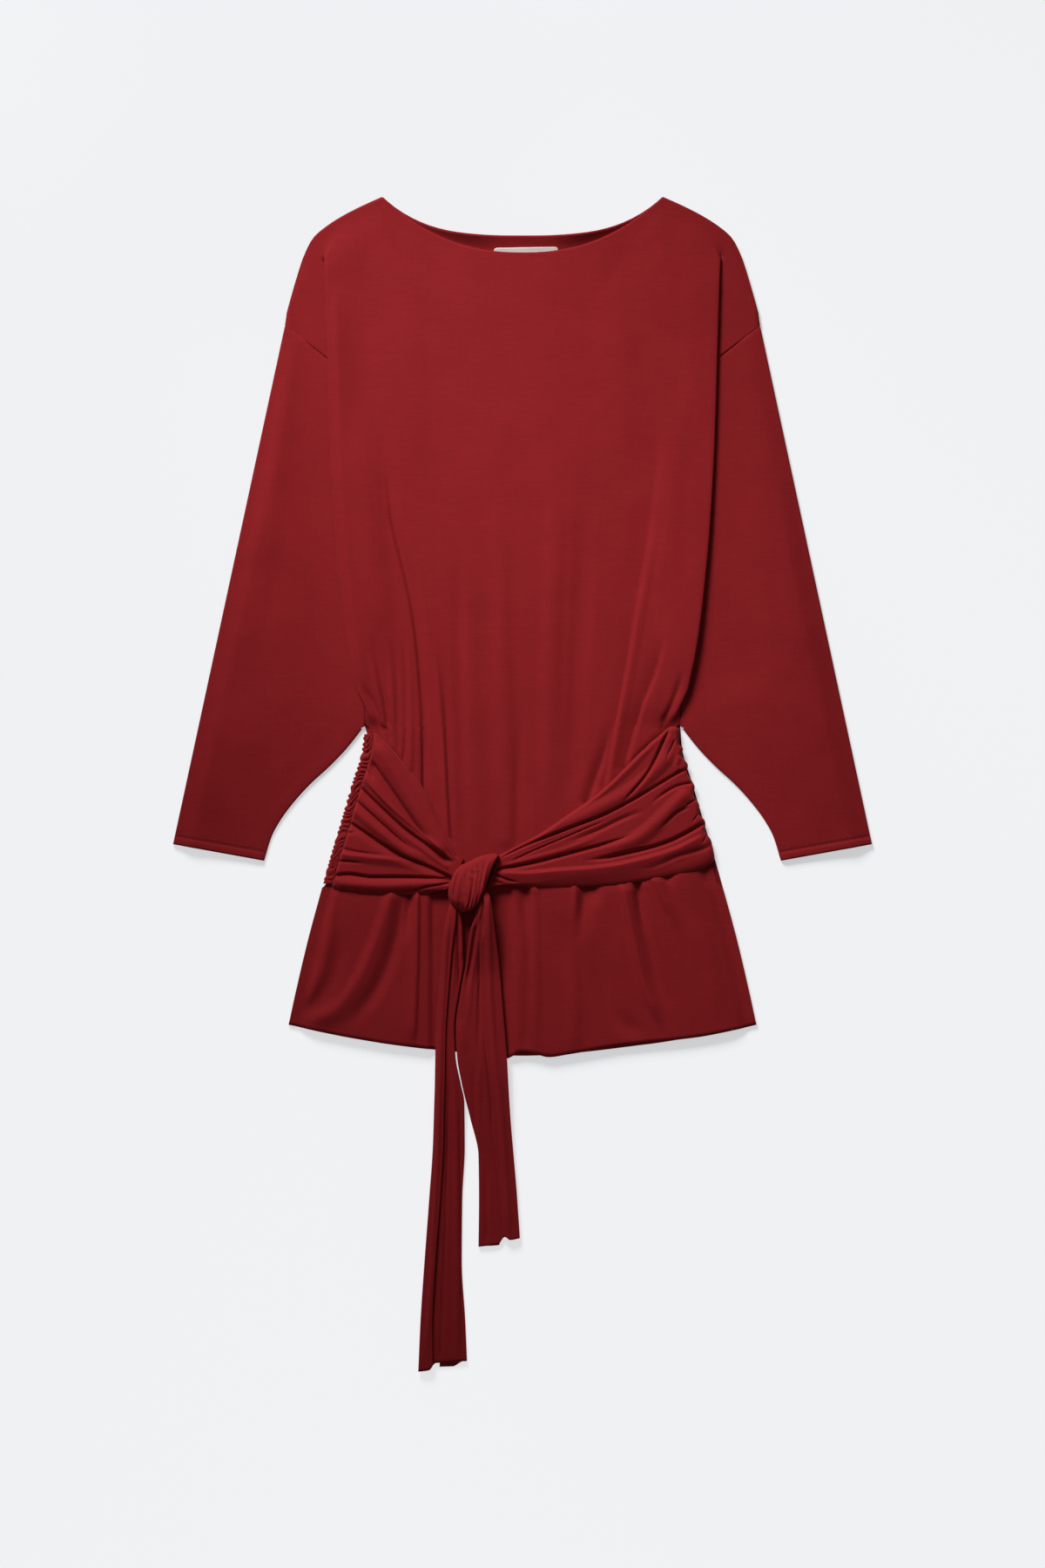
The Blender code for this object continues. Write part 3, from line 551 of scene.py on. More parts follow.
@dataclass(frozen=True)
class Jersey:
    """Fine red viscose jersey with a soft, slightly brushed face."""

    deep: Colour = (0.199, 0.0068, 0.0094)
    full: Colour = (0.287, 0.0124, 0.0154)
    cloud: Grain = Grain((26, 26, 26), 3.0, 0.5, 0.5)
    courses: Grain = Grain((70, 620, 90), 2.0, 0.6, 0.55, 0.5)
    wales: Grain = Grain((640, 60, 90), 2.0, 0.6, 0.3, 0.5)
    nap: Grain = Grain((1500, 1500, 1500), 1.0, 0.5, 0.5, 0.8)
    relief: float = 0.0004
    relief_strength: float = 0.35
    roughness: float = 0.8
    mottle: float = 0.1
    sheen: float = 0.12
    sheen_roughness: float = 0.45
    sheen_tint: Colour = (1.0, 0.3, 0.28)
    specular: float = 0.12

    def material(self, name: str) -> bpy.types.Material:
        """The finish as a material of that name."""
        shading = Shading(name)
        tone, relief = 0.5, 0.0
        for grain in (self.cloud, self.courses, self.wales, self.nap):
            noise = shading.noise(grain)
            tone = tone + (noise - 0.5) * grain.shift
            if grain.height:
                relief = relief + noise * grain.height
        # the last noise is the nap, which makes the roughness uneven too
        return shading.surface(
            base_color=shading.blend(tone, self.deep, self.full),
            roughness=self.roughness + (noise - 0.5) * self.mottle,
            normal=shading.bump(relief, self.relief_strength, self.relief),
            sheen_weight=self.sheen,
            sheen_roughness=self.sheen_roughness,
            sheen_tint=(*self.sheen_tint, 1),
            specular_ior_level=self.specular,
        )


@dataclass(frozen=True)
class LabelSatin:
    """Off-white woven satin of the neck label, blank."""

    shade: Colour = (0.66, 0.60, 0.58)
    light: Colour = (0.82, 0.77, 0.75)
    picks: Grain = Grain((300, 3000, 300), 1.0, 0.5, 0.6)
    cloud: Grain = Grain((120, 120, 120), 2.0, 0.5, 0.4)
    relief: float = 0.0002
    relief_strength: float = 0.3
    roughness: float = 0.42
    mottle: float = 0.1
    sheen: float = 0.1

    def material(self, name: str) -> bpy.types.Material:
        """The finish as a material of that name."""
        shading = Shading(name)
        picks = shading.noise(self.picks)
        tone = picks * self.picks.shift + shading.noise(self.cloud) * self.cloud.shift
        return shading.surface(
            base_color=shading.blend(tone, self.shade, self.light),
            roughness=self.roughness + (picks - 0.5) * self.mottle,
            normal=shading.bump(picks, self.relief_strength, self.relief),
            sheen_weight=self.sheen,
        )


@dataclass(frozen=True)
class Thread:
    """Red sewing thread, a little deeper and glossier than the cloth."""

    deep: Colour = (0.11, 0.006, 0.009)
    full: Colour = (0.20, 0.012, 0.015)
    twist: Grain = Grain((2500, 2500, 2500))
    roughness: float = 0.5
    mottle: float = 0.1

    def material(self, name: str) -> bpy.types.Material:
        """The finish as a material of that name."""
        shading = Shading(name)
        twist = shading.noise(self.twist)
        return shading.surface(
            base_color=shading.blend(twist, self.deep, self.full),
            roughness=self.roughness + (twist - 0.5) * self.mottle,
        )


@dataclass(frozen=True)
class Glow:
    """How one lamp's light falls on the floor, as if from a point with a soft cone."""

    place: tuple[float, float, float] = (-0.7225, 1.7615, 1.1911)
    aim: tuple[float, float, float] = (0.0631, 0.1145, 0.0)
    strength: float = 5.251
    cone: float = 0.2480
    rest: float = 0.0889

    def value(self, shading: Shading) -> Value:
        """The light at points of the floor, as a share of that on the chest."""
        way = [aim - place for aim, place in zip(self.aim, self.place)]
        length = math.sqrt(sum(step * step for step in way))
        axis = [step / length for step in way]
        ray = shading.vector("SUBTRACT", shading.place(), self.place)
        along = shading.vector("DOT_PRODUCT", ray, axis)
        far = shading.vector("LENGTH", ray)
        off = (far * far - along * along) / (along * along * self.cone**2)
        fall = self.strength * self.place[2] * along / far**4
        return fall * math.e ** (0 - off) + self.rest


@dataclass(frozen=True)
class StudioFloor:
    """A plain pale floor, lit evenly because a light table in it makes up for the lamp."""

    grey: float = 0.57
    roughness: float = 0.9
    level: Colour = (0.871, 0.88, 0.896)
    share: float = 0.726
    glow: Glow = Glow()

    def material(self, name: str) -> bpy.types.Material:
        """The finish as a material of that name."""
        shading = Shading(name)
        lamp = self.glow.value(shading) * self.share
        return shading.surface(
            base_color=(self.grey, self.grey, self.grey, 1),
            roughness=self.roughness,
            emission_color=shading.vector("SUBTRACT", self.level, lamp),
            emission_strength=1.0,
            specular_ior_level=0.0,
        )


class Slot(Enum):
    """The record's material slots."""

    JERSEY = "jersey"
    LABEL = "label_satin"


@dataclass(frozen=True)
class Cut:
    """The flat cut of a piece of cloth, in metres and square metres."""

    width: float
    length: float
    area: float
    held: str = "laid"
    rests_on: tuple[str, ...] = ()


def dress(
    piece: bpy.types.Object,
    finish: bpy.types.Material,
    node: str | None = None,
    cut: Cut | None = None,
    slot: Slot = Slot.JERSEY,
) -> None:
    """Gives a piece its finish, hangs it on the root, hides the frame's part that it stands for,
    if any, and reports it.

    Args:
        piece: The piece, in place.
        finish: Its material.
        node: The node of the frame that it stands for.
        cut: The flat cut, where it is a sheet of cloth.
        slot: The record's slot that the finish comes from. Not used.
    """
    piece.data.materials.append(finish)
    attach(piece, "root")
    if node:
        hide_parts(node)
    if cut:
        list(cut.rests_on)
    LOG.info("%s: %d faces before its wall", piece.name, len(piece.data.polygons))


# --- the body -----------------------------------------------------------------------------


@dataclass
class FrontBody:
    """The front, cut in one from neck to hem, its armhole pleats folded over the sleeves."""

    columns: int = 186
    # shares of the half width where even columns go, closer together where it is creased
    crowding: Crowding = ((0, 0.16, 0.84, 1), (0, 0.26, 0.80, 1))
    section_steps: int = 2
    flap_columns: int = 9
    # how far along the sleeve seam the flap ends, and how far outside the pleat it stays
    flap_end: float = 0.8
    flap_gap: Span = (3, 1)
    yoke_rows: int = 40
    yoke_crowding: Crowding = ((0, 0.25, 1), (0, 0.15, 1))
    bodice_pitch: float = 4.6
    sash_pitch: float = 3.4
    skirt_rows: int = 36
    pleat_depth: float = 21.0
    tip_depth: float = 2.0
    start_x: float = 195.0
    start_low_x: float = 187.0
    yoke_step: float = 2.6
    bodice_step: float = 1.3
    skirt_inset: float = 4.5
    seam_inset: float = 0.55
    loft: float = 2.4
    swell: float = 1.2
    relief: float = 1.6
    cut: Cut = Cut(0.50, 0.86, 0.345, "laid", ("back_body",))

    # soft steps, each from where it starts to where it ends: down from the neckline
    loft_down: Span = (0, 65)
    press_down: Span = (0, 60)
    lap_down: Span = (0, 48)
    ripple_down: Span = (0, 40)
    # in from the outer edge, beside the neck, and under the tails
    loft_in: Span = (0, 30)
    press_in: Span = (0, 12)
    crease_in: Span = (0, 10)
    beside_neck: Span = (128, 60)
    tails_right: Span = (-92, -86)
    tails_left: Span = (-6, -14)
    tails_down: Span = (-96, -104)
    # up and down from the sash, out from under it, and up from the hem
    swell_up: Span = (90, 0)
    swell_down: Span = (70, 0)
    from_sash: Span = (-14, -5)
    from_hem: Span = (0, 16)
    # down the yoke, and up from the waist seam, as the pleats rise and fold over
    yoke_lift: Span = (0, 0.3)
    yoke_overhang: Span = (0.03, 0.36)
    yoke_depth: Span = (0.1, 1)
    waist_lift: Span = (WAIST_Y - 2, WAIST_Y + 12)
    waist_overhang: Span = (WAIST_Y, WAIST_Y + 36)
    waist_lap: Span = (WAIST_Y, WAIST_Y + 20)
    pleat_blend: float = 9.0
    # height over the front's edge of what lies on the pleat's underlap, by distance inwards
    lap_in: tuple[float, ...] = (0, 24, 50, 80)
    lap: tuple[float, ...] = (PLEAT_TOP_Z - FRONT_EDGE_Z, 3.5, 2.2, 1.4)
    tails_press: float = 0.8
    hem_relief: float = 0.35
    rounding: float = 0.15

    # each Fold: its route, height, width left and right, crest and how it fades at the ends
    folds: tuple[Fold, ...] = (
        Fold(
            ((-158, 400), (-152, 300), (-143, 200), (-134, 130), (-128, 90)),
            1.8, 20, 24, 2, (0.4, 0.3),
        ),
        Fold(((146, 380), (143, 300), (138, 210), (136, 160)), 1.0, 18, 16, 2, (0.4, 0.3)),
        # the deep fold of the wearer's right side
        Fold(
            (
                (-134, 330), (-126, 252), (-115, 210), (-104, 155), (-99, 105), (-96.5, 70),
                (-96, 40), (-96, 0), (-94, -30),
            ),
            -3.3, 15, 3.0, 1.1, (0.45, 0.01),
        ),
        Fold(
            (
                (-124, 320), (-115, 252), (-103, 205), (-94, 150), (-90, 100), (-89, 60),
                (-90, 20), (-92, -30),
            ),
            0.4, 8, 6, 1.6, (0.5, 0.01),
        ),
        Fold(
            ((-86, 150), (-81, 100), (-78.5, 70), (-76, 30), (-74.5, 0), (-71, -60)),
            1.3, 3, 9, 1.3, (0.4, 0.01),
        ),
        Fold(
            ((-80, 150), (-75, 90), (-72.5, 40), (-71, 0), (-68, -60)),
            -0.6, 9, 3, 1.3, (0.5, 0.01),
        ),
        # gathers over the ruched seam
        Fold(((-160, 104), (-153, 88), (-148, 74), (-146, 62)), -2.6, 6, 6, 1.5, (0.4, 0.01)),
        Fold(
            ((-153, 96), (-147, 84), (-143, 76), (-140, 66), (-138, 56)),
            -2.0, 3, 4, 1.1, (0.3, 0.01),
        ),
        Fold(
            ((-147, 150), (-141, 118), (-136, 94), (-132, 75), (-130, 60), (-128, 40)),
            -1.9, 6, 3, 1.1, (0.7, 0.01),
        ),
        Fold(
            ((-146, 130), (-142, 104), (-138, 84), (-135, 66), (-134, 54)),
            1.5, 4, 4, 1.6, (0.5, 0.05),
        ),
        Fold(
            ((-134, 165), (-129, 130), (-126, 100), (-125, 75), (-126, 55), (-127, 40)),
            0.9, 3, 6, 1.4, (0.7, 0.01),
        ),
        Fold(
            ((-127, 160), (-123, 130), (-121, 100), (-120, 70), (-120, 30)),
            -0.8, 4, 3, 1.3, (0.7, 0.01),
        ),
        Fold(
            ((-118, 165), (-114, 130), (-112.5, 90), (-112.5, 50), (-115, 20)),
            -0.9, 6, 3, 1.2, (0.7, 0.01),
        ),
        Fold(((-109, 150), (-107.5, 80), (-107, 40), (-108, 10)), 0.7, 3, 7, 1.5, (0.7, 0.01)),
        # the rolled edge of the pleat at the wearer's right
        Fold(
            (
                (-184, 492), (-183, 420), (-180.5, 353), (-177.5, 286), (-174, 228),
                (-167.5, 179), (-161, 127), (-154, 98), (-147, 72),
            ),
            1.7, 26, 8, 1.5, (0.12, 0.15),
        ),
        # the long crease of the wearer's left side
        Fold(
            ((131, 350), (128, 300), (122, 250), (115, 205), (107, 160), (101, 120), (92, 75)),
            -1.15, 9, 26, 1.5, (0.6, 0.6),
        ),
        Fold(
            ((113, 195), (107.5, 160), (101.5, 120), (94.5, 80), (87.5, 43), (81, 7), (78, -8)),
            -0.9, 2.0, 17, 1.1, (0.5, 0.01),
        ),
        Fold(
            (
                (136, 350), (132, 300), (126, 250), (119, 205), (111, 160), (105, 120), (96, 75),
                (88, 35), (82, -6),
            ),
            0.8, 9, 4, 1.5, (0.55, 0.01),
        ),
        Fold(
            ((139, 148), (133.5, 126), (127, 102), (117, 79), (109.5, 54), (102, 28), (98, 10)),
            -1.7, 2.2, 17, 1.2, (0.35, 0.01),
        ),
        Fold(((86, 62), (78, 26), (70, 2), (62, -22)), -1.8, 4, 12, 1.4, (0.6, 0.01)),
        Fold(((156, 112), (150, 92), (143, 74), (134, 58)), -1.6, 9, 5, 1.4, (0.4, 0.01)),
        # soft streaks down the middle
        Fold(((-22, 300), (-20, 200), (-17, 80), (-14, -62)), 0.9, 11, 16, 1.8, (0.45, 0.02)),
        Fold(((-2, 90), (-4, 20), (-7, -60)), -0.7, 9, 7, 1.6, (0.5, 0.02)),
        Fold(((-52, 260), (-50, 150), (-46, 20), (-42, -60)), 0.5, 12, 12, 2, (0.4, 0.1)),
        Fold(((-64, 240), (-62, 150), (-58, 0), (-55, -60)), -0.5, 9, 9, 2, (0.4, 0.1)),
        Fold(((32, 330), (29, 180), (26, 60), (25, -30)), 0.95, 14, 14, 2, (0.45, 0.1)),
        Fold(((62, 330), (56, 180), (50, 60), (46, -20)), -0.8, 16, 12, 2, (0.45, 0.1)),
        # the soft fullness of the chest
        Fold(((-122, 500), (-115, 420), (-110, 340), (-106, 270)), 1.1, 26, 42, 2, (0.4, 0.4)),
        Fold(((78, 480), (88, 420), (96, 350), (98, 290)), 0.9, 30, 30, 2, (0.4, 0.4)),
        Fold(((10.5, 34), (11, -10), (10.5, -56)), 0.5, 1.6, 3, 1.2, (0.5, 0.02)),
        # the skirt, from the wearer's right
        Fold(((-188, -90), (-190, -114), (-196, -140)), -2.0, 5, 4, 1.5, (0.01, 0.8)),
        Fold(
            ((-182, -100), (-186, -140), (-194, -178), (-208, -204), (-220, -216)),
            1.7, 9, 13, 1.6, (0.05, 0.2),
        ),
        Fold(
            ((-172, -130), (-180, -180), (-194, -206), (-216, -224)),
            -1.3, 12, 12, 1.6, (0.4, 0.1),
        ),
        Fold(
            ((-124, -98), (-134, -130), (-147, -165), (-162, -194), (-182, -218), (-214, -231)),
            2.4, 20, 9, 1.4, (0.05, 0.15),
        ),
        Fold(
            ((-114, -100), (-121, -145), (-131, -178), (-148, -210), (-172, -236)),
            -1.7, 11, 12, 1.6, (0.02, 0.3),
        ),
        Fold(
            ((-108, -92), (-108, -108), (-110, -135), (-114, -160)),
            -3.0, 7.5, 6.5, 1.5, (0.01, 0.8),
        ),
        Fold(
            ((-101, -100), (-101.5, -160), (-103, -205), (-105, -254)),
            2.1, 3.5, 13, 1.3, (0.02, 0.15),
        ),
        Fold(((1, -88), (2, -104), (2, -130), (1, -160)), -3.0, 9, 10, 1.5, (0.01, 0.8)),
        Fold(((6, -100), (5, -170), (3, -262)), -1.5, 14, 6, 1.3, (0.02, 0.05)),
        Fold(((13, -96), (13, -180), (12.5, -262)), 1.5, 2.6, 24, 1.2, (0.02, 0.05)),
        Fold(((49, -94), (49, -112), (48, -140)), 1.5, 14, 1.8, 1.1, (0.01, 0.8)),
        Fold(((46, -140), (50, -200), (50, -258)), 0.9, 10, 12, 1.8, (0.4, 0.1)),
        Fold(((57, -88), (59, -104), (57, -130), (54, -160)), -3.0, 16, 9, 1.5, (0.01, 0.8)),
        Fold(((68, -94), (70, -108), (68, -120)), -1.6, 12, 9, 1.4, (0.01, 0.7)),
        Fold(((62, -140), (76, -190), (92, -226), (124, -246)), -1.2, 13, 14, 1.7, (0.4, 0.2)),
        Fold(
            ((96, -94), (103, -130), (111, -168), (119, -200), (136, -238)),
            2.5, 13, 7, 1.3, (0.05, 0.2),
        ),
        Fold(((111, -82), (111, -98), (114, -124), (119, -150)), -3.0, 6, 7, 1.5, (0.01, 0.8)),
        Fold(((113, -96), (119, -140), (128, -180), (144, -226)), -1.2, 7, 14, 1.5, (0.05, 0.4)),
        Fold(((126, -88), (134, -108), (142, -124), (152, -150)), 1.9, 12, 5, 1.4, (0.05, 0.6)),
        Fold(((144, -82), (158, -104), (172, -150), (182, -190)), 0.9, 14, 18, 1.8, (0.1, 0.5)),
        Fold(((140, -74), (140, -88), (143, -104)), -2.6, 9, 8, 1.5, (0.01, 0.8)),
        Fold(((174, -120), (180, -165), (190, -232)), 0.6, 12, 12, 1.8, (0.4, 0.3)),
    )
    ripples: tuple[Ripple, ...] = (Ripple(110, 0.16, 4), Ripple(45, 0.04, 5))
    # how much higher the pleat at the wearer's left stands, and how far in that reaches
    puff_y: tuple[float, ...] = (56, 84, 130, 200, 300, 400, 480, 510)
    puff: tuple[float, ...] = (0, 3.4, 5.0, 3.9, 2.7, 2.1, 1.5, 0)
    puff_reach: float = 85.0

    def heights(self, x: Array, y: Array) -> Array:
        """Height of the middle surface between the armhole pleats.

        Args:
            x: Places across the front.
            y: Places along it.

        Returns:
            The height at each point, in millimetres.
        """
        drop = Outline.front_top(x) - y
        inside = self._edge(y) - np.abs(x)
        above = y - Outline.sash_top(x)
        below = Outline.sash_low(x) - y
        neck = np.maximum(ramp(*self.loft_down, drop), ramp(*self.beside_neck, np.abs(x)))
        free = np.minimum(ramp(*self.from_sash, above) + ramp(*self.from_sash, below), 1)
        off_hem = ramp(*self.from_hem, y - Outline.front_hem(x))
        tails = ramp(*self.tails_right, x) * ramp(*self.tails_left, x) * ramp(*self.tails_down, y)
        lower = ramp(*self.swell_down, np.maximum(below, 0)) * (below > 0)
        near_sash = ramp(*self.swell_up, np.maximum(above, 0)) * (1 + lower)
        loft = (self.loft * neck + self.swell * near_sash) * ramp(*self.loft_in, inside) * free
        loft = loft * (1 - self.tails_press * tails)
        pressed = (PRESSED_Z - FRONT_EDGE_Z) * ramp(*self.press_in, inside)
        rise = pressed * ramp(*self.press_down, drop) + loft
        lift = ramp(*self.lap_down, drop) * ramp(*self.waist_lap, y)
        rise = rise + lift * np.maximum(Curve(self.lap_in, self.lap)(inside) - rise, 0)
        soft = sum(ripple.lift(x, y) for ripple in self.ripples)
        creases = self.relief * lifted(self.folds, x, y) + soft * ramp(*self.ripple_down, drop)
        creases = creases * free * ramp(*self.crease_in, inside)
        creases = creases * (self.hem_relief + (1 - self.hem_relief) * off_hem) * (1 - tails)
        rise = rise + creases
        return FRONT_EDGE_Z + 0.5 * (rise + np.sqrt(rise**2 + self.rounding))

    def _edge(self, y: Array) -> Array:
        """Half the width of what shows of the front at each height."""
        above = Outline.pleat(y)
        return np.where(y > WAIST_Y, above, Outline.side(y))

    def section(
        self,
        edge: float,
        fold: float,
        wall: float,
        depth: float,
        lift: float,
        overhang: float,
        spread: float,
        has_flap: bool,
    ) -> Array:
        """Half a cross section through the armhole pleat, from the sleeve seam inwards.

        Args:
            edge: Where the slope starts that the pleat grows out of.
            fold: The pleat's visible edge.
            wall: Where it first stands upright.
            depth: How far it goes back under itself.
            lift: How high it stands, as a share.
            overhang: How far it is folded over, as a share.
            spread: How wide the slope's steps are.
            has_flap: Whether the section goes on under the shoulder.

        Returns:
            (distance from the centre, height) rows.
        """
        turn, inner_turn = LAYER / 2, (UNDERLAP_Z - SLEEVE_TOP_Z) / 2
        part_turn = 0.3 * turn
        tip = fold - CLOTH / 2
        folded = [
            (tip - depth, UNDERLAP_Z),
            (tip - (depth + turn) / 2, UNDERLAP_Z),
            (tip - turn, UNDERLAP_Z),
            (tip - part_turn, UNDERLAP_Z + part_turn),
            (tip, UNDERLAP_Z + turn),
            (tip - part_turn, PLEAT_TOP_Z - part_turn),
            (tip - turn, PLEAT_TOP_Z),
        ]
        if has_flap:
            start = [
                (tip - depth, SLEEVE_TOP_Z),
                (tip - depth - inner_turn, SLEEVE_TOP_Z + inner_turn),
            ]
            folded = start + folded
        low, high = folded[0][1], folded[-1][1]
        bent, risen = max(2 * overhang - 1, 0), min(2 * overhang, 1)
        rows = []
        for k, (x, z) in enumerate(folded):
            upright_z = low + (high - low) * k / (len(folded) - 1)
            start_x = (1 - risen) * (edge - k * spread) + risen * wall
            level = (1 - bent) * upright_z + bent * z
            level = FRONT_EDGE_Z + lift * (level - FRONT_EDGE_Z)
            rows.append(((1 - bent) * start_x + bent * x, level))
        return refined(rows, self.section_steps)

    def _shares(self) -> Array:
        """Shares of the half width from -1 to 1 where the middle's columns go."""
        even = np.linspace(-1, 1, self.columns + 2)[1:-1]
        return np.sign(even) * Curve(*self.crowding)(np.abs(even))

    def _row(
        self, y_of: Callable[[Array], Array], section: Array, flap: Array | None = None
    ) -> Array:
        """One row of the front, from one outer edge to the other.

        Args:
            y_of: The row's height at places across the front.
            section: The pleat's cross section.
            flap: The points of the wearer's left shoulder outside the pleat, from the
                outer arm inwards, if the row has any.

        Returns:
            The row's points, with nan where there is no cloth.
        """
        inner, level = section[-1]
        x = inner * self._shares()
        y = y_of(x)
        folded = ramp(inner - self.pleat_blend, inner, np.abs(x))
        puff = Curve(self.puff_y, self.puff)
        middle_z = (1 - folded) * self.heights(x, y) + folded * level
        middle_z = middle_z + puff(y) * ramp(inner - self.puff_reach, inner, x)
        middle = np.stack([x, y, middle_z], axis=-1)
        half = np.stack([section[:, 0], y_of(section[:, 0]), section[:, 1]], axis=-1)
        half[:, 2] += puff(half[:, 1]) * ramp(UNDERLAP_Z, PLEAT_TOP_Z, half[:, 2])
        other = np.stack([-section[:, 0], y_of(-section[:, 0]), section[:, 1]], axis=-1)
        missing = 2 * self.section_steps if flap is None else 0
        outer = np.full((self.flap_columns + missing, 3), np.nan)
        if flap is not None:
            outer = flap
        mirrored = outer * (-1, 1, 1)
        return np.concatenate([mirrored, other, middle, half[::-1], outer[::-1]])

    def grid(self) -> Array:
        """The middle surface of the front's wall."""
        rows = [*self._yoke(), *self._bodice(), *self._skirt()]
        return np.stack(rows)

    def _yoke(self) -> Iterator[Array]:
        """The rows from the shoulders to the end of the sleeve seams."""
        tops = np.linspace(FLAP_OUTER_X, FLAP_INNER_X, self.flap_columns)
        starts = Outline.front_top(tops)
        reach = (FLAP_OUTER_X - tops) / (FLAP_OUTER_X - PLEAT_TOP_X)
        ends = Outline.seam_point(reach * self.flap_end)
        for v in Curve(*self.yoke_crowding)(np.linspace(0, 1, self.yoke_rows)):

            def place(x: Array, v: float = v) -> Array:
                """The row's height at places across it."""
                wide = x * self.start_x / ((1 - v) * self.start_x + v * self.start_low_x)
                return (1 - v) * Outline.front_top(wide) + v * YOKE_Y

            lift, overhang = ramp(*self.yoke_lift, v), ramp(*self.yoke_overhang, v)
            deeper = (self.pleat_depth - self.tip_depth) * ramp(*self.yoke_depth, v)
            depth = self.tip_depth + deeper
            fold = float(Outline.pleat(place(np.array(PLEAT_TOP_X))))
            section = self.section(
                self.start_x, fold, fold, depth, lift, overhang, self.yoke_step, True
            )
            px = tops + v * (ends[:, 0] - tops)
            px = np.maximum(px, section[0, 0] + np.linspace(*self.flap_gap, len(tops)))
            py = starts + v * (ends[:, 1] - starts)
            level = FRONT_EDGE_Z + (SLEEVE_TOP_Z - FRONT_EDGE_Z) * lift
            yield self._row(place, section, np.stack([px, py, np.full_like(px, level)], axis=-1))

    def _bodice(self) -> Iterator[Array]:
        """The rows from the yoke, over the waist, to the sash's lower edge."""
        for y in self._bodice_heights():
            if y > WAIST_Y:
                edge, fold = Outline.armhole(y) - self.seam_inset, Outline.pleat(y)
            else:
                edge = fold = Outline.side(y) - self.skirt_inset
            lift, overhang = ramp(*self.waist_lift, y), ramp(*self.waist_overhang, y)
            wall = edge - CLOTH / 2
            section = self.section(
                edge, fold, wall, fold - edge, lift, overhang, self.bodice_step, False
            )
            yield self._row(lambda x, y=y: np.full_like(x, y), section)

    def _skirt(self) -> Iterator[Array]:
        """The rows below the sash, which turn into the hem's line."""
        for v in np.linspace(0, 1, self.skirt_rows):
            half = float(Outline.side(SASH_LOW_Y + v * (HEM_CORNER_Y - SASH_LOW_Y)))

            def place(x: Array, v: float = v, half: float = half) -> Array:
                """The row's height at places across it."""
                hem = Outline.front_hem(x / half * HEM_CORNER_X)
                return SASH_LOW_Y + v * (hem - SASH_LOW_Y)

            section = self.section(half, half, half, 0, 0, 0, self.bodice_step, False)
            yield self._row(place, section)

    def _bodice_heights(self) -> Array:
        """Heights of the rows between the yoke and the skirt."""
        bodice = np.arange(YOKE_Y - self.bodice_pitch, WAIST_Y + 30, -self.bodice_pitch)
        sash = np.arange(bodice[-1] - self.sash_pitch, SASH_LOW_Y + 2, -self.sash_pitch)
        return np.concatenate([bodice, sash])

    def build(self, finish: bpy.types.Material) -> None:
        """Makes the front, hides the frame's part that it stands for and logs it."""
        dress(shell("front_shell", self.grid()), finish, "front_body", self.cut)


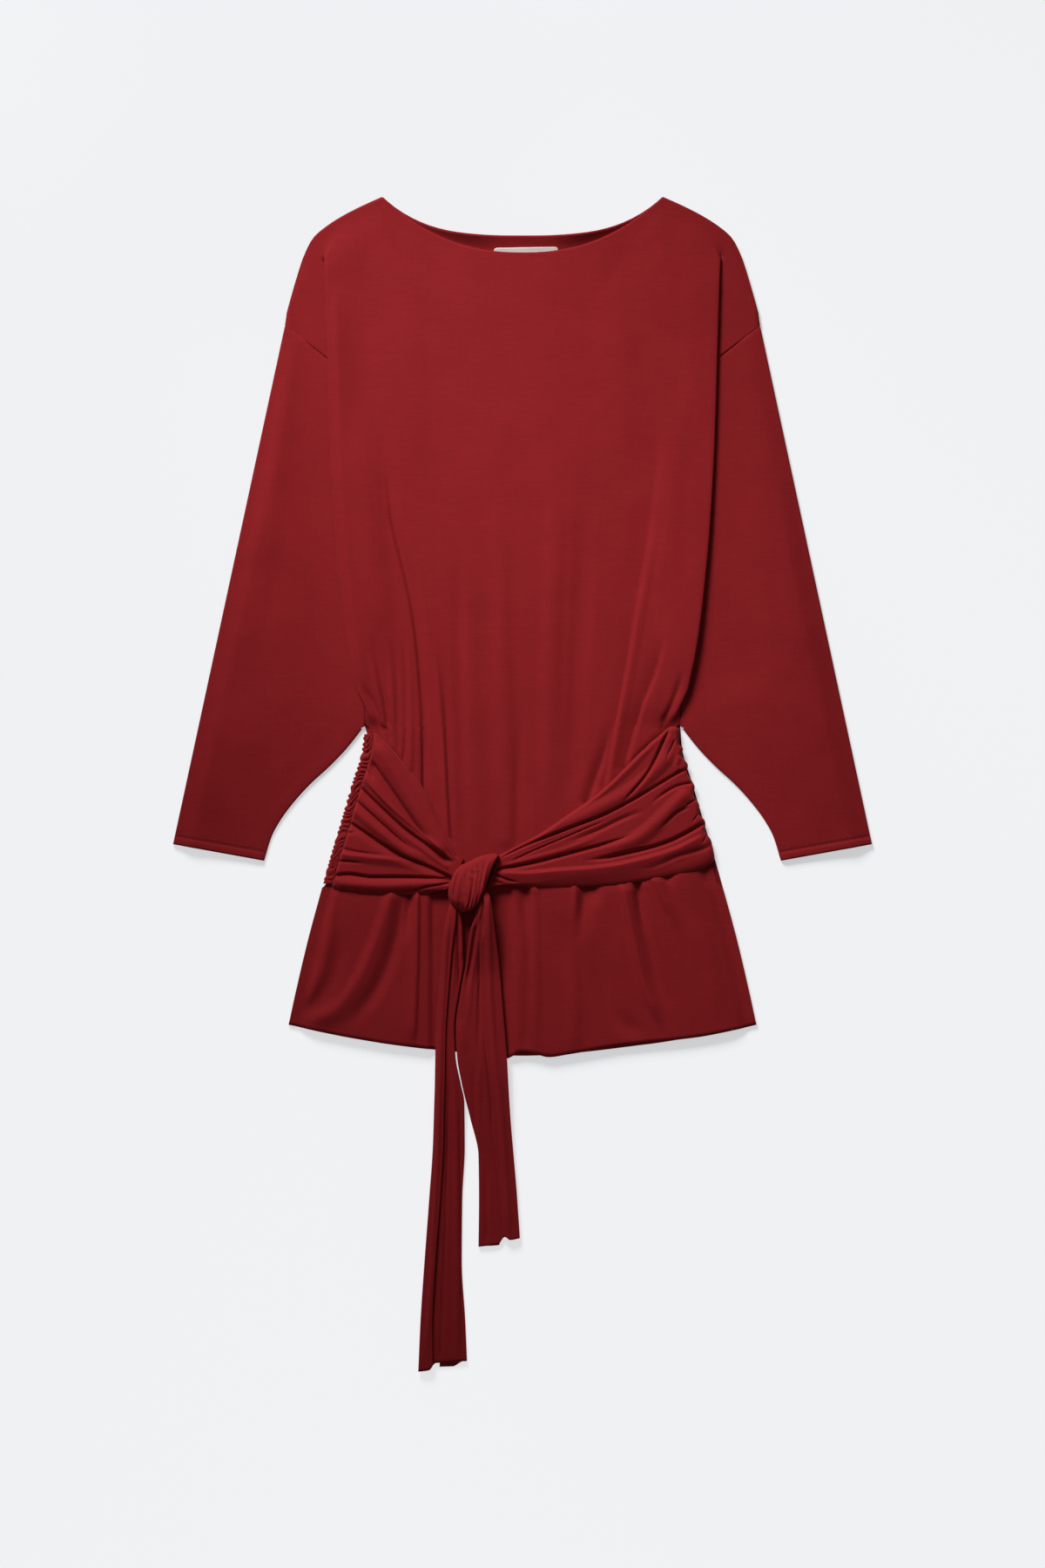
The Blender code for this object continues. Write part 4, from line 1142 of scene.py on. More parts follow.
@dataclass
class BackBody:
    """The back, flat on the ground; its edge wraps forward as the gathered band."""

    columns: int = 46
    flap_columns: int = 9
    band_columns: int = 14
    turn_columns: int = 6
    yoke_rows: int = 26
    yoke_crowding: Crowding = ((0, 0.35, 1), (0, 0.12, 1))
    bodice_rows: int = 44
    skirt_rows: int = 26
    # the band: its gathers, how far they reach and rise, and where they are calm
    gathers: int = 27
    rows_a_gather: int = 8
    band_top: float = 48.0
    band_low: float = -96.0
    band_width: float = 9.0
    band_ends: float = 5.0
    gather_reach: float = 0.9
    gather_rise: float = 1.0
    # (size, rate, start) of the waves that make the gathers uneven
    gather_waves: tuple[tuple[float, float, float], ...] = ((0.012, 23, 0), (0.007, 57, 1))
    slant: float = 5.0
    tuck: float = 0.5
    tuck_in: Span = (0.8, 1)
    calm: float = 0.6
    calm_y: Span = (-60.0, -15.0)
    # the back's neck edge stands up, most beside the middle
    neck_roll: float = 7.0
    neck_gap: float = 11.0
    neck_power: float = 1.3
    middle_roll: float = 0.72
    middle_x: Span = (18.0, 48.0)
    cut: Cut = Cut(0.46, 0.83, 0.305, "laid", ())

    @classmethod
    def inside(cls, x: Array, y: Array) -> Array:
        """Height of the back's wall inside the neck, where its edge stands up a little."""
        gap = np.maximum(Outline.back_top(x) - Outline.front_top(x), 0.01)
        down = np.clip((Outline.back_top(x) - y) / gap, 0, 1)
        beside = cls.middle_roll + (1 - cls.middle_roll) * ramp(*cls.middle_x, np.abs(x))
        roll = cls.neck_roll * beside * np.minimum(gap / cls.neck_gap, 1)
        roll = roll * (1 - down) ** cls.neck_power
        return BACK_Z + np.where(np.abs(x) < NECK_HALF, roll, 0.0)

    def wave(self, y: Array) -> Array:
        """-1 to 1, one uneven wave for each gather of the ruched seam."""
        share = (self.band_top - y) / (self.band_top - self.band_low)
        uneven = share
        for size, rate, start in self.gather_waves:
            uneven = uneven + size * np.sin(rate * share + start)
        return np.cos(2 * math.pi * self.gathers * uneven)

    def _band(self, half: float, y: float) -> Array:
        """The band at one height: up round the wearer's right edge and over the seam."""
        grown = ramp(self.band_low, self.band_low + self.band_ends, y)
        grown = grown * ramp(self.band_top, self.band_top - self.band_ends, y)
        grown = grown * (self.calm + (1 - self.calm) * ramp(*self.calm_y, y))
        radius = (SASH_Z - BACK_Z) / 2
        edge = -half - self.gather_reach * grown * self.wave(y) + CLOTH / 2 + radius
        angles = np.linspace(0, math.pi, self.turn_columns + 1)[1:]
        turn_x = edge - radius * np.sin(angles)
        turn = np.stack([turn_x, BACK_Z + radius * (1 - np.cos(angles))], axis=-1)
        across = np.linspace(0, 1, self.band_columns - self.turn_columns + 1)[1:]
        x = edge + across * (-half + self.band_width - edge)
        slant = self.slant * (across + 0.5 * np.sin(3 * across + y / 9))
        pucker = self.wave(y - slant) * np.sin(math.pi * (0.25 + 0.72 * across))
        z = SASH_Z + self.gather_rise * grown * pucker - self.tuck * ramp(*self.tuck_in, across)
        points = np.concatenate([turn, np.stack([x, z], axis=-1)])
        return np.stack([points[:, 0], np.full(len(points), y), points[:, 1]], axis=-1)[::-1]

    def grid(self) -> Array:
        """The middle surface of the back's wall."""
        shares = np.linspace(-1, 1, self.columns)
        rows = [*self._yoke(shares), *self._bodice(shares), *self._skirt(shares)]
        return np.stack(rows)

    def _yoke(self, shares: Array) -> Iterator[Array]:
        """The rows from the shoulders to the end of the sleeve seams."""
        tops = np.linspace(FLAP_OUTER_X, FLAP_INNER_X, self.flap_columns)
        starts = Outline.back_top(tops)
        ends = Outline.seam_point((FLAP_OUTER_X - tops) / (FLAP_OUTER_X - PLEAT_TOP_X))
        gap = np.full((self.band_columns - self.flap_columns, 3), np.nan)
        for v in Curve(*self.yoke_crowding)(np.linspace(0, 1, self.yoke_rows)):
            px = tops + v * (ends[:, 0] - tops)
            py = starts + v * (ends[:, 1] - starts)
            flap = np.stack([px, py, np.full_like(px, BACK_Z)], axis=-1)
            x = (1 - v) * shares * PLEAT_TOP_X + v * shares * Outline.seam_corner[0]
            y = (1 - v) * Outline.back_top(shares * PLEAT_TOP_X) + v * YOKE_Y
            middle = np.stack([x, y, self.inside(x, y)], axis=-1)
            yield np.concatenate([gap, flap * (-1, 1, 1), middle, flap[::-1]])

    def _flat(self, x: Array, y: Array, wrap: Array | None = None) -> Array:
        """A row of the flat back, with the band beside it if it has any."""
        if wrap is None:
            wrap = np.full((self.band_columns, 3), np.nan)
        middle = np.stack([x, y, np.full_like(x, BACK_Z)], axis=-1)
        return np.concatenate([wrap, middle, np.full((self.flap_columns, 3), np.nan)])

    def _bodice(self, shares: Array) -> Iterator[Array]:
        """The rows from the yoke to the lower end of the band."""
        low = np.linspace(YOKE_Y, self.band_top, self.bodice_rows)[1:-1]
        band = np.linspace(self.band_top, self.band_low, self.gathers * self.rows_a_gather + 1)
        for y in np.concatenate([low, band]):
            half = float(Outline.armhole(y)) if y > WAIST_Y else float(Outline.side(y))
            x, wrap = shares * half, None
            if y <= self.band_top:
                wrap = self._band(half, float(y))
                x[0] = wrap[-1, 0] + CLOTH
            yield self._flat(x, np.full_like(x, y), wrap)

    def _skirt(self, shares: Array) -> Iterator[Array]:
        """The rows below the band, which turn into the hem's line."""
        hem = Outline.back_hem(shares * HEM_CORNER_X)
        for v in np.linspace(0, 1, self.skirt_rows)[1:]:
            half = float(Outline.side(self.band_low + v * (HEM_CORNER_Y - self.band_low)))
            yield self._flat(shares * half, self.band_low + v * (hem - self.band_low))

    def build(self, finish: bpy.types.Material) -> None:
        """Makes the back, hides the frame's part that it stands for and logs it."""
        dress(shell("back_shell", self.grid()), finish, "back_body", self.cut)


class Side(Enum):
    """The wearer's sides, as the sign of x."""

    RIGHT = -1
    LEFT = 1


@dataclass
class Sleeve:
    """A batwing sleeve laid flat: one cloth folded at the outer arm, sewn under the arm."""

    side: Side
    folds: tuple[Fold, ...]
    pleat_reach: float
    loft: float = 4.2
    rows: int = 120
    front_columns: int = 70
    back_columns: int = 16
    # the turned up hem, at which places over its edge the rows lie, and its stitched groove
    hem_rows: tuple[float, ...] = (0, 2.2, 4.4, 6.2, 7.2, 8.0, 9.0, 11, 14)
    hem_end: float = 18.0
    hem_depth: float = 7.8
    hem_edge: float = 2.5
    hem_puff: float = 0.5
    groove: float = 0.55
    groove_width: float = 1.1
    # the upper end, which slips under the shoulder
    seam_row: float = 1.6
    seam_lap: float = 0.9
    seam_dip: float = 0.75
    seam_in: Span = (0, 4)
    open_inset: float = -0.45
    back_inset: float = 0.1
    # soft steps in from the seams and from the front's pleat
    waist_up: Span = (WAIST_Y, WAIST_Y + 36)
    inner_in: Span = (-2, 10)
    inner_loft_in: Span = (8, 100)
    inner_loft: float = 0.12
    outer_in: Span = (0, 22)
    pleat_start: float = 2.0
    rounding: float = 0.02
    ripples: tuple[Ripple, ...] = (Ripple(80, 0.25, 14), Ripple(36, 0.08, 15))
    cut: Cut = Cut(0.36, 0.54, 0.118, "folded", ("back_body",))

    # how far up the outer arm the row lies whose inner end is at each height
    closed_y: tuple[float, ...] = (CUFF_Y, -50, -25, 0, 20, 38, WAIST_Y)
    closed_outer: tuple[float, ...] = (0, 24, 48, 74, 102, 134, 170)

    def _ends(self) -> list[tuple[Array, Array, bool]]:
        """Inner and outer edge of each row, from the cuff up, and whether it is closed."""
        top, cuff = np.array(Outline.sleeve_top), np.array(Outline.cuff_outer)
        length = float(np.linalg.norm(top - cuff))
        outer = Curve(self.closed_y + (YOKE_Y,), self.closed_outer + (length,))
        straight = Curve((WAIST_Y, YOKE_Y), (self.closed_outer[-1], length))
        ends = []
        hem = CUFF_Y + np.array(self.hem_rows)
        under = np.linspace(CUFF_Y + self.hem_end, WAIST_Y, self.rows // 3)
        upper = np.linspace(WAIST_Y, YOKE_Y, self.rows - len(under) - len(hem))[1:]
        upper = np.append(upper[:-1], (YOKE_Y - self.seam_row, YOKE_Y))
        for y in np.concatenate([hem, under, upper]):
            closed = y < WAIST_Y
            distance = float(outer(y) if closed else straight(y))
            inner_x = float(Outline.underarm(y) if closed else Outline.armhole(y))
            ends.append((np.array([inner_x, y]), cuff + (top - cuff) * distance / length, closed))
        return ends

    def _heights(self, x: Array, y: Array, inner: Array, outer: Array) -> Array:
        """Rise of the upper layer over its seams at points of one row."""
        pleated = ramp(*self.waist_up, inner[1])
        to_inner = np.hypot(x - inner[0], y - inner[1])
        to_outer = np.hypot(x - outer[0], y - outer[1])
        from_pleat = x - Outline.pleat(y)
        beside = 1 - pleated * (1 - ramp(self.pleat_start, self.pleat_reach, from_pleat))
        grown = self.inner_loft + (1 - self.inner_loft) * ramp(*self.inner_loft_in, to_inner)
        clear = beside * ramp(*self.inner_in, to_inner) * grown
        edge = ramp(*self.outer_in, to_outer)
        soft = sum(ripple.lift(x, y) for ripple in self.ripples)
        rise = self.loft * clear * edge
        rise = rise + (lifted(self.folds, self.side.value * x, y) + soft) * clear * edge
        return 0.5 * (rise + np.sqrt(rise**2 + self.rounding))

    def _cuff(self, up: float) -> float:
        """The cuff's turned up hem over its edge: a puffed strip and its stitched groove."""
        strip = self.hem_puff * ramp(self.hem_depth, self.hem_depth - self.hem_edge, up)
        return strip - self.groove * np.exp(-(((up - self.hem_depth) / self.groove_width) ** 2))

    def grid(self) -> Array:
        """The middle surface of the sleeve's wall, wrapped round where it is closed."""
        ends = self._ends()
        rows = [self._row(*end) for end in ends[:-1]]
        rows.append(self._row(*ends[-1], tucked=True))
        return np.stack(rows) * (self.side.value, 1, 1)

    def _row(self, inner: Array, outer: Array, closed: bool, tucked: bool = False) -> Array:
        """One row round the sleeve.

        Args:
            inner: Its end at the underarm or armhole, in the plane.
            outer: Its end at the outer arm.
            closed: Whether it is sewn together at the underarm.
            tucked: Whether it slips under the shoulder.

        Returns:
            The row's points, with nan where there is no cloth.
        """
        turn = LAYER / 2
        along = (outer - inner) / np.linalg.norm(outer - inner)
        if tucked:
            across = np.array([along[1], -along[0]])
            inner, outer = inner - self.seam_lap * across, outer - self.seam_lap * across
        start = inner + along * ((CLOTH / 2 + turn) if closed else self.open_inset)
        back_start = start if closed else inner + self.back_inset * along
        end = outer - along * (CLOTH / 2 + turn)
        share = np.linspace(0, 1, self.front_columns)[:, None]
        x, y = (start + share * (end - start)).T
        from_inner = ramp(*self.seam_in, np.hypot(x - inner[0], y - inner[1]))
        rise = self._heights(x, y, inner, outer) + self._cuff(inner[1] - CUFF_Y) * from_inner
        if tucked:
            from_outer = ramp(*self.seam_in, np.hypot(x - outer[0], y - outer[1]))
            rise = rise - self.seam_dip * from_outer
        front = np.column_stack([x, y, SLEEVE_TOP_Z + rise])
        sine, cosine = np.sin(TURN_ANGLES)[:, None], np.cos(TURN_ANGLES)
        fold = np.column_stack([end + along * turn * sine, BACK_Z + turn * (1 + cosine)])
        back = end + np.linspace(0, 1, self.back_columns)[:, None] * (back_start - end)
        back = np.column_stack([back, np.full(self.back_columns, BACK_Z)])
        seam = np.column_stack([start - along * turn * sine, BACK_Z + turn * (1 - cosine)])
        if not closed:
            seam = np.full_like(seam, np.nan)
        return np.concatenate([front, fold, back, seam])

    def build(self, finish: bpy.types.Material) -> None:
        """Makes the sleeve, hides the frame's part that it stands for and logs it."""
        name = self.side.name.lower()
        piece = shell(f"sleeve_{name}_shell", self.grid(), wrapped=True)
        dress(piece, finish, f"sleeve_{name}", self.cut)


RIGHT_SLEEVE_FOLDS = (
    Fold(((-206, 400), (-212, 340), (-222, 270), (-232, 200)), -1.0, 14, 20, 2, (0.2, 0.5)),
    Fold(((-226, 330), (-244, 250), (-262, 160), (-276, 60)), 0.9, 18, 18, 2, (0.4, 0.4)),
    Fold(((-182, 62), (-206, 40), (-236, -4)), 0.8, 12, 12, 2, (0.2, 0.4)),
)
LEFT_SLEEVE_FOLDS = (
    Fold(((206, 412), (214, 360), (226, 300), (238, 240)), 1.6, 14, 16, 2, (0.15, 0.5)),
    Fold(((246, 250), (262, 160), (280, 60)), 0.8, 16, 18, 2, (0.4, 0.4)),
    Fold(((176, 66), (200, 44), (230, 4)), 0.8, 12, 12, 2, (0.2, 0.4)),
)


# --- the sash -----------------------------------------------------------------------------


@dataclass
class SashHalf:
    """Half of the sash, drawn together in pleats from the ruched side seam to the knot.

    upper and lower are its edges from the seam to the knot. inset is how far in from the
    dress's edge it starts, and scallops is how far that start bulges out at each height.
    """

    side: Side
    upper: Points
    lower: Points
    folds: tuple[Fold, ...]
    scallops: tuple[tuple[float, float], ...] = ()
    body_rise: float = 4.6
    seam_rise: float = 0.25
    # how far in the upper and the lower edge roll, and how much of that is left at the knot
    rolls: Span = (3.6, 12.0)
    knot_roll: float = 0.6
    lift: float = 2.0
    lift_in: Span = (0, 28)
    seam_along: Span = (0, 0.06)
    seam_power: int = 6
    inset: float = 9.6
    base_z: float = SASH_Z - 0.6
    relief: float = 1.15
    rounding: float = 0.05
    along_steps: int = 120
    across_steps: int = 210
    cut: Cut = Cut(0.16, 0.13, 0.0160, "gathered", ("front_body",))

    def grid(self) -> Array:
        """The middle surface of the wall."""
        along = np.linspace(0, 1, self.along_steps + 1)[:, None]
        across = np.linspace(0, 1, self.across_steps + 1)[None, :]
        upper, lower = Route(self.upper)(along), Route(self.lower)(along)
        place = (1 - across[..., None]) * upper + across[..., None] * lower
        y = place[..., 1]
        seam_half = Outline.side(np.minimum(y, WAIST_Y))
        seam_x = seam_half - self.inset + self._scallop(y)
        pull = (1 - along) ** self.seam_power
        x = (1 - pull) * place[..., 0] + pull * self.side.value * seam_x
        width = np.linalg.norm(upper - lower, axis=-1)
        upper_roll, lower_roll = self.rolls
        lower_roll = lower_roll * ramp(1, self.knot_roll, along)
        from_top = np.clip(across * width / upper_roll, 0, 1)
        from_low = np.clip((1 - across) * width / lower_roll, 0, 1)
        rolled = np.sqrt((1 - (1 - from_top) ** 2) * (1 - (1 - from_low) ** 2))
        grown = self.seam_rise + (1 - self.seam_rise) * ramp(*self.seam_along, along)
        rise = self.body_rise * grown * rolled + self.relief * lifted(self.folds, x, y) * rolled
        rise = 0.5 * (rise + np.sqrt(rise**2 + self.rounding))
        z = self.base_z + self.lift * ramp(*self.lift_in, seam_half - np.abs(x)) + rise
        return np.stack([x, y, z], axis=-1)

    def _scallop(self, y: Array) -> Array:
        """How far the ruched edge bulges past the seam at each height."""
        if not self.scallops:
            return np.zeros_like(y)
        heights, reaches = zip(*self.scallops)
        return Curve(heights, reaches)(y)

    def build(self, finish: bpy.types.Material) -> None:
        """Makes this half of the sash, hides the frame's part that it stands for and logs it."""
        name = self.side.name.lower()
        dress(shell(f"sash_{name}_shell", self.grid()), finish, f"sash_{name}", self.cut)


RIGHT_SASH_FOLDS = (
    # the rounded tops of the pleats
    Fold(
        ((-143, 42), (-130, 22), (-117, 0), (-104, -22), (-88, -48), (-68, -72)),
        2.6, 10, 11, 1.8, (0.1, 0.15),
    ),
    Fold(
        ((-155, 10), (-140, -4), (-125, -21), (-110, -37), (-94, -52), (-72, -68)),
        2.0, 7, 7, 1.8, (0.08, 0.1),
    ),
    Fold(((-140, 44), (-134, 34), (-126, 20), (-117, 6)), -0.9, 3, 3, 1.2, (0.2, 0.6)),
    Fold(((-76, -46), (-70, -58), (-62, -72)), -1.1, 1.6, 2, 1.1, (0.4, 0.1)),
    Fold(((-80, -52), (-72, -64), (-64, -76)), -0.8, 1.4, 1.6, 1.1, (0.5, 0.1)),
    # shingled pleats, each with a steep side above and a soft one below
    Fold(
        (
            (-147, 25), (-141, 16), (-134, 6), (-127, -4), (-118, -17), (-110, -29), (-103, -39),
            (-95, -48), (-84, -59),
        ),
        -3.8, 4.6, 13, 1.1, (0.1, 0.2),
    ),
    Fold(((-151, 16), (-147, 10), (-143, 2)), -1.4, 2, 3, 1.1, (0.3, 0.5)),
    Fold(
        ((-152, 4), (-140, -8.5), (-130, -19), (-115, -32.5), (-100, -45), (-85, -57), (-66, -74)),
        1.2, 4, 2.4, 1.3, (0.1, 0.05),
    ),
    Fold(
        (
            (-159, 0), (-152, -7), (-145, -14), (-135, -23.5), (-125, -33), (-115, -42),
            (-105, -49.5), (-85, -63), (-66, -77),
        ),
        -3.6, 3.6, 7, 1.1, (0.06, 0.1),
    ),
    Fold(
        ((-163, -13), (-150, -25), (-140, -34), (-130, -43), (-120, -52), (-110, -60), (-98, -68)),
        -2.6, 3.2, 6, 1.1, (0.08, 0.4),
    ),
    Fold(
        ((-150, -16), (-130, -35), (-110, -52), (-90, -67), (-70, -82)),
        0.8, 4, 4, 1.6, (0.3, 0.05),
    ),
    Fold(
        (
            (-168, -20), (-155, -31), (-145, -39.5), (-135, -47.5), (-122, -58), (-108, -67),
            (-90, -76),
        ),
        2.4, 7, 7, 1.8, (0.1, 0.2),
    ),
    Fold(
        (
            (-168, -36), (-158, -42), (-148, -49), (-138, -56), (-128, -62), (-118, -68),
            (-108, -73), (-94, -78), (-80, -84.5), (-67, -91),
        ),
        -4.2, 3.4, 9, 1.1, (0.04, 0.02),
    ),
    Fold(((-176, -46), (-166, -47), (-158, -46)), -1.6, 2.5, 3, 1.1, (0.1, 0.5)),
    Fold(((-184, -58), (-170, -63), (-155, -66), (-130, -69)), -1.2, 3, 4, 1.3, (0.2, 0.5)),
    Fold(
        ((-184, -66), (-160, -69), (-140, -71), (-120, -73), (-104, -76), (-86, -83)),
        2.2, 3, 9, 1.5, (0.05, 0.3),
    ),
    Fold(((-186, -74), (-170, -74), (-160, -75), (-149, -76)), -2.6, 1.8, 3, 1.0, (0.03, 0.6)),
    Fold(
        (
            (-192, -90), (-178, -88), (-170, -86.5), (-160, -87.5), (-148, -89.5), (-120, -89.5),
            (-100, -90), (-67, -92),
        ),
        -4.3, 3.4, 5, 1.1, (0.02, 0.01),
    ),
    Fold(
        ((-186, -95), (-160, -97), (-130, -98), (-100, -96), (-70, -94)),
        2.2, 7, 9, 1.8, (0.1, 0.1),
    ),
    Fold(((-122, -105), (-105, -102), (-92, -98.5), (-67, -95)), -3.0, 2, 3, 1.0, (0.5, 0.01)),
)
LEFT_SASH_FOLDS = (
    # the upper pleats
    Fold(
        ((143, 56), (136, 42), (132, 33), (127, 22), (120, 10), (112, 0), (104, -9), (95, -19)),
        -3.8, 4, 3, 1.1, (0.12, 0.3),
    ),
    Fold(((138, 62), (130, 52), (124, 43)), -1.8, 2.5, 2.5, 1.1, (0.1, 0.5)),
    Fold(((147, 44), (144, 36), (140, 28), (138, 20)), -1.6, 2, 2.5, 1.1, (0.15, 0.5)),
    Fold(
        ((146, 36), (136, 22), (120, 6), (100, -9), (80, -20), (55, -32), (25, -45), (0, -57)),
        1.8, 9, 9, 2, (0.1, 0.15),
    ),
    Fold(
        ((132, 52), (118, 34), (102, 16), (84, 0), (62, -15), (35, -32), (5, -50)),
        1.2, 7, 6, 1.8, (0.15, 0.3),
    ),
    Fold(((151, 28), (148, 18), (150, 12)), 1.0, 4, 4, 1.6, (0.2, 0.2)),
    # the long crease
    Fold(
        (
            (160, 15), (148, 9), (138, 3), (125, -5), (112, -13), (100, -19.5), (90, -25),
            (75, -32), (60, -37.5), (30, -49), (0, -61), (-24, -73),
        ),
        -3.8, 2, 4, 1.0, (0.03, 0.1),
    ),
    Fold(
        ((86, -33), (65, -41.5), (50, -48), (30, -56.5), (10, -65), (-12, -75)),
        -1.8, 1.4, 2.6, 1.0, (0.3, 0.1),
    ),
    Fold(
        ((122, -24), (105, -30), (90, -36.5), (75, -44), (55, -52), (36, -59)),
        -1.5, 4, 5, 1.4, (0.3, 0.4),
    ),
    Fold(((164, 1), (150, -2), (140, -7), (130, -14), (120, -23)), -1.8, 3, 4, 1.1, (0.04, 0.5)),
    # the broad middle ridge
    Fold(
        (
            (164, -4), (150, -16), (140, -26), (130, -36), (120, -45), (108, -53), (90, -60),
            (66, -66),
        ),
        2.4, 11, 9, 1.8, (0.1, 0.3),
    ),
    Fold(((171, -13), (162, -18), (155, -23)), -2.0, 1.6, 2.4, 1.0, (0.02, 0.5)),
    Fold(((162, -22), (150, -27), (139, -37), (129, -47)), -1.4, 3, 4, 1.3, (0.2, 0.5)),
    Fold(((171, -26), (167, -32), (163, -38)), -1.8, 1.5, 2, 1.0, (0.05, 0.4)),
    Fold(
        (
            (178, -36), (165, -44), (155, -49.5), (145, -54.5), (130, -60), (115, -64),
            (100, -67), (80, -71.5), (56, -74),
        ),
        -4.0, 3.4, 5, 1.1, (0.03, 0.3),
    ),
    Fold(
        (
            (112, -46), (101, -50.5), (90, -54.5), (75, -59), (60, -63), (45, -67), (30, -71),
            (10, -76), (-26, -82.5),
        ),
        -4.0, 4, 3.4, 1.1, (0.3, 0.01),
    ),
    Fold(((80, -48), (60, -56), (36, -64), (10, -71), (-20, -79)), 0.8, 4, 3, 1.6, (0.3, 0.1)),
    # the broad lower ridge
    Fold(
        (
            (176, -49), (160, -57), (145, -64), (118, -72), (84, -79.5), (60, -82), (34, -83.7),
            (0, -86.5), (-26, -85),
        ),
        2.6, 15, 4, 1.4, (0.06, 0.05),
    ),
    Fold(((178, -46), (176, -52), (172, -58)), -1.8, 1.5, 2, 1.0, (0.1, 0.4)),
    Fold(
        ((186, -57), (172, -63.5), (160, -67), (150, -69.5), (140, -74), (125, -80), (104, -84)),
        -1.2, 4, 6, 1.3, (0.02, 0.6),
    ),
    Fold(((-30, -84), (-24, -88), (-14, -92), (-2, -95)), -2.6, 2, 2.6, 1.1, (0.02, 0.5)),
    Fold(((-31, -91), (-24, -94), (-17, -97)), -1.8, 1.6, 2, 1.1, (0.02, 0.5)),
)
# how far the wearer's left edge bulges past the seam, as (height, reach)
LEFT_SCALLOPS = (
    (56, -1.2), (46, -1.8), (38, -2.8), (34, 0.4), (27, -2.6), (19, 1.2), (10, -2.2), (-2, 1.0),
    (-11, -2.8), (-20, 0.2), (-29, -2.6), (-37, 1.6), (-45, -2.0), (-55, 1.4), (-70, 0.0),
)


@dataclass
class Knot:
    """The knot: a band of the sash wrapped over its own gathers, creased along its length.

    rings gives, from the sash down, each ring's middle (x, y), half its width and its height.
    """

    rings: tuple[tuple[float, float, float, float], ...] = (
        (-25.0, -67.5, 2.6, 12.0),
        (-33.0, -72.0, 7.4, 15.5),
        (-41.0, -79.3, 11.6, 18.0),
        (-46.4, -84.5, 15.0, 19.6),
        (-51.5, -93.9, 16.6, 21.4),
        (-55.5, -103.7, 16.4, 22.4),
        (-58.5, -112.7, 13.9, 21.4),
        (-61.0, -119.0, 8.0, 16.0),
        (-61.8, -122.0, 3.0, 9.0),
    )
    across: tuple[float, float] = (-0.914, 0.407)
    low_z: float = PRESSED_Z + CLOTH / 2 + 0.9
    flatness: float = 0.5
    tilt: float = 2.3
    tilt_height: float = 20.0
    crown: Span = (-0.2, 0.5)
    relief: float = 1.45
    steps: int = 8
    segments: int = 190
    creases: tuple[Fold, ...] = (
        # one long crease down the middle and short deep ones at the lower end
        Fold(
            ((-41, -73), (-45, -84), (-47.5, -96), (-50, -110), (-53, -121)),
            -1.5, 1.8, 1.6, 1.1, (0.25, 0.1),
        ),
        Fold(((-42, -104), (-44, -112), (-46, -119)), -1.3, 1.5, 1.6, 1.2, (0.5, 0.05)),
        Fold(((-46, -106), (-47.5, -113), (-49, -120)), -0.9, 1.2, 1.4, 1.2, (0.5, 0.05)),
        Fold(
            ((-57, -96), (-59, -106), (-61, -114), (-62, -122)),
            -1.2, 1.4, 1.7, 1.1, (0.5, 0.05),
        ),
        Fold(((-54, -104), (-55.5, -112), (-57, -120)), -0.8, 1.2, 1.3, 1.2, (0.5, 0.05)),
        # fine wrinkles along the band
        Fold(
            ((-60, -82), (-63, -90), (-65.5, -102), (-66.5, -112)),
            -0.9, 1.4, 2.2, 1.2, (0.3, 0.3),
        ),
        Fold(((-56, -80), (-59, -90), (-61.5, -101), (-63, -112)), 0.5, 1.3, 1.6, 1.5, (0.4, 0.3)),
        Fold(((-52, -78), (-54, -88), (-55.5, -98), (-56, -106)), -0.5, 1.1, 1.4, 1.3, (0.3, 0.4)),
        Fold(
            ((-48, -77), (-50.5, -88), (-51.5, -100), (-53, -112)),
            0.6, 1.5, 1.5, 1.6, (0.3, 0.3),
        ),
        Fold(((-46, -75), (-48.5, -84), (-50, -92)), -0.45, 1.0, 1.2, 1.3, (0.3, 0.5)),
        Fold(((-36, -71), (-41, -82), (-43, -93), (-44.5, -102)), -0.6, 1.2, 1.5, 1.2, (0.3, 0.4)),
        Fold(((-38, -74), (-43.5, -86), (-45, -97), (-47, -108)), 0.6, 1.6, 1.4, 1.6, (0.3, 0.3)),
        Fold(
            ((-32, -70), (-37, -80), (-39.5, -92), (-41.5, -104)),
            -0.5, 1.2, 1.6, 1.3, (0.2, 0.3),
        ),
        Fold(
            ((-29, -69), (-33.5, -79), (-36, -90), (-38.5, -102), (-41, -112)),
            0.7, 1.4, 2.2, 1.5, (0.2, 0.2),
        ),
    )

    def build(self, finish: bpy.types.Material) -> None:
        """Makes the knot, hides the frame's part that it stands for and logs it."""
        rings = refined(self.rings, self.steps)
        angle = np.linspace(0, 2 * math.pi, self.segments, endpoint=False)[None, :]
        x, y, half_width, height = (column[:, None] for column in rings.T)
        swing = np.sign(np.cos(angle)) * np.abs(np.cos(angle)) ** self.flatness
        px = x + self.across[0] * half_width * swing
        py = y + self.across[1] * half_width * swing
        tilted = height - self.tilt * swing * np.minimum(height / self.tilt_height, 1)
        pz = self.low_z + tilted * np.sqrt(0.5 + 0.5 * np.sin(angle))
        pz = pz + self.relief * ramp(*self.crown, np.sin(angle)) * lifted(self.creases, px, py)
        points = np.stack([px, py, pz], axis=-1)
        faces = tube_faces(len(points), self.segments)
        dress(solid("knot_shell", points.reshape(-1, 3), faces), finish, "sash_knot")


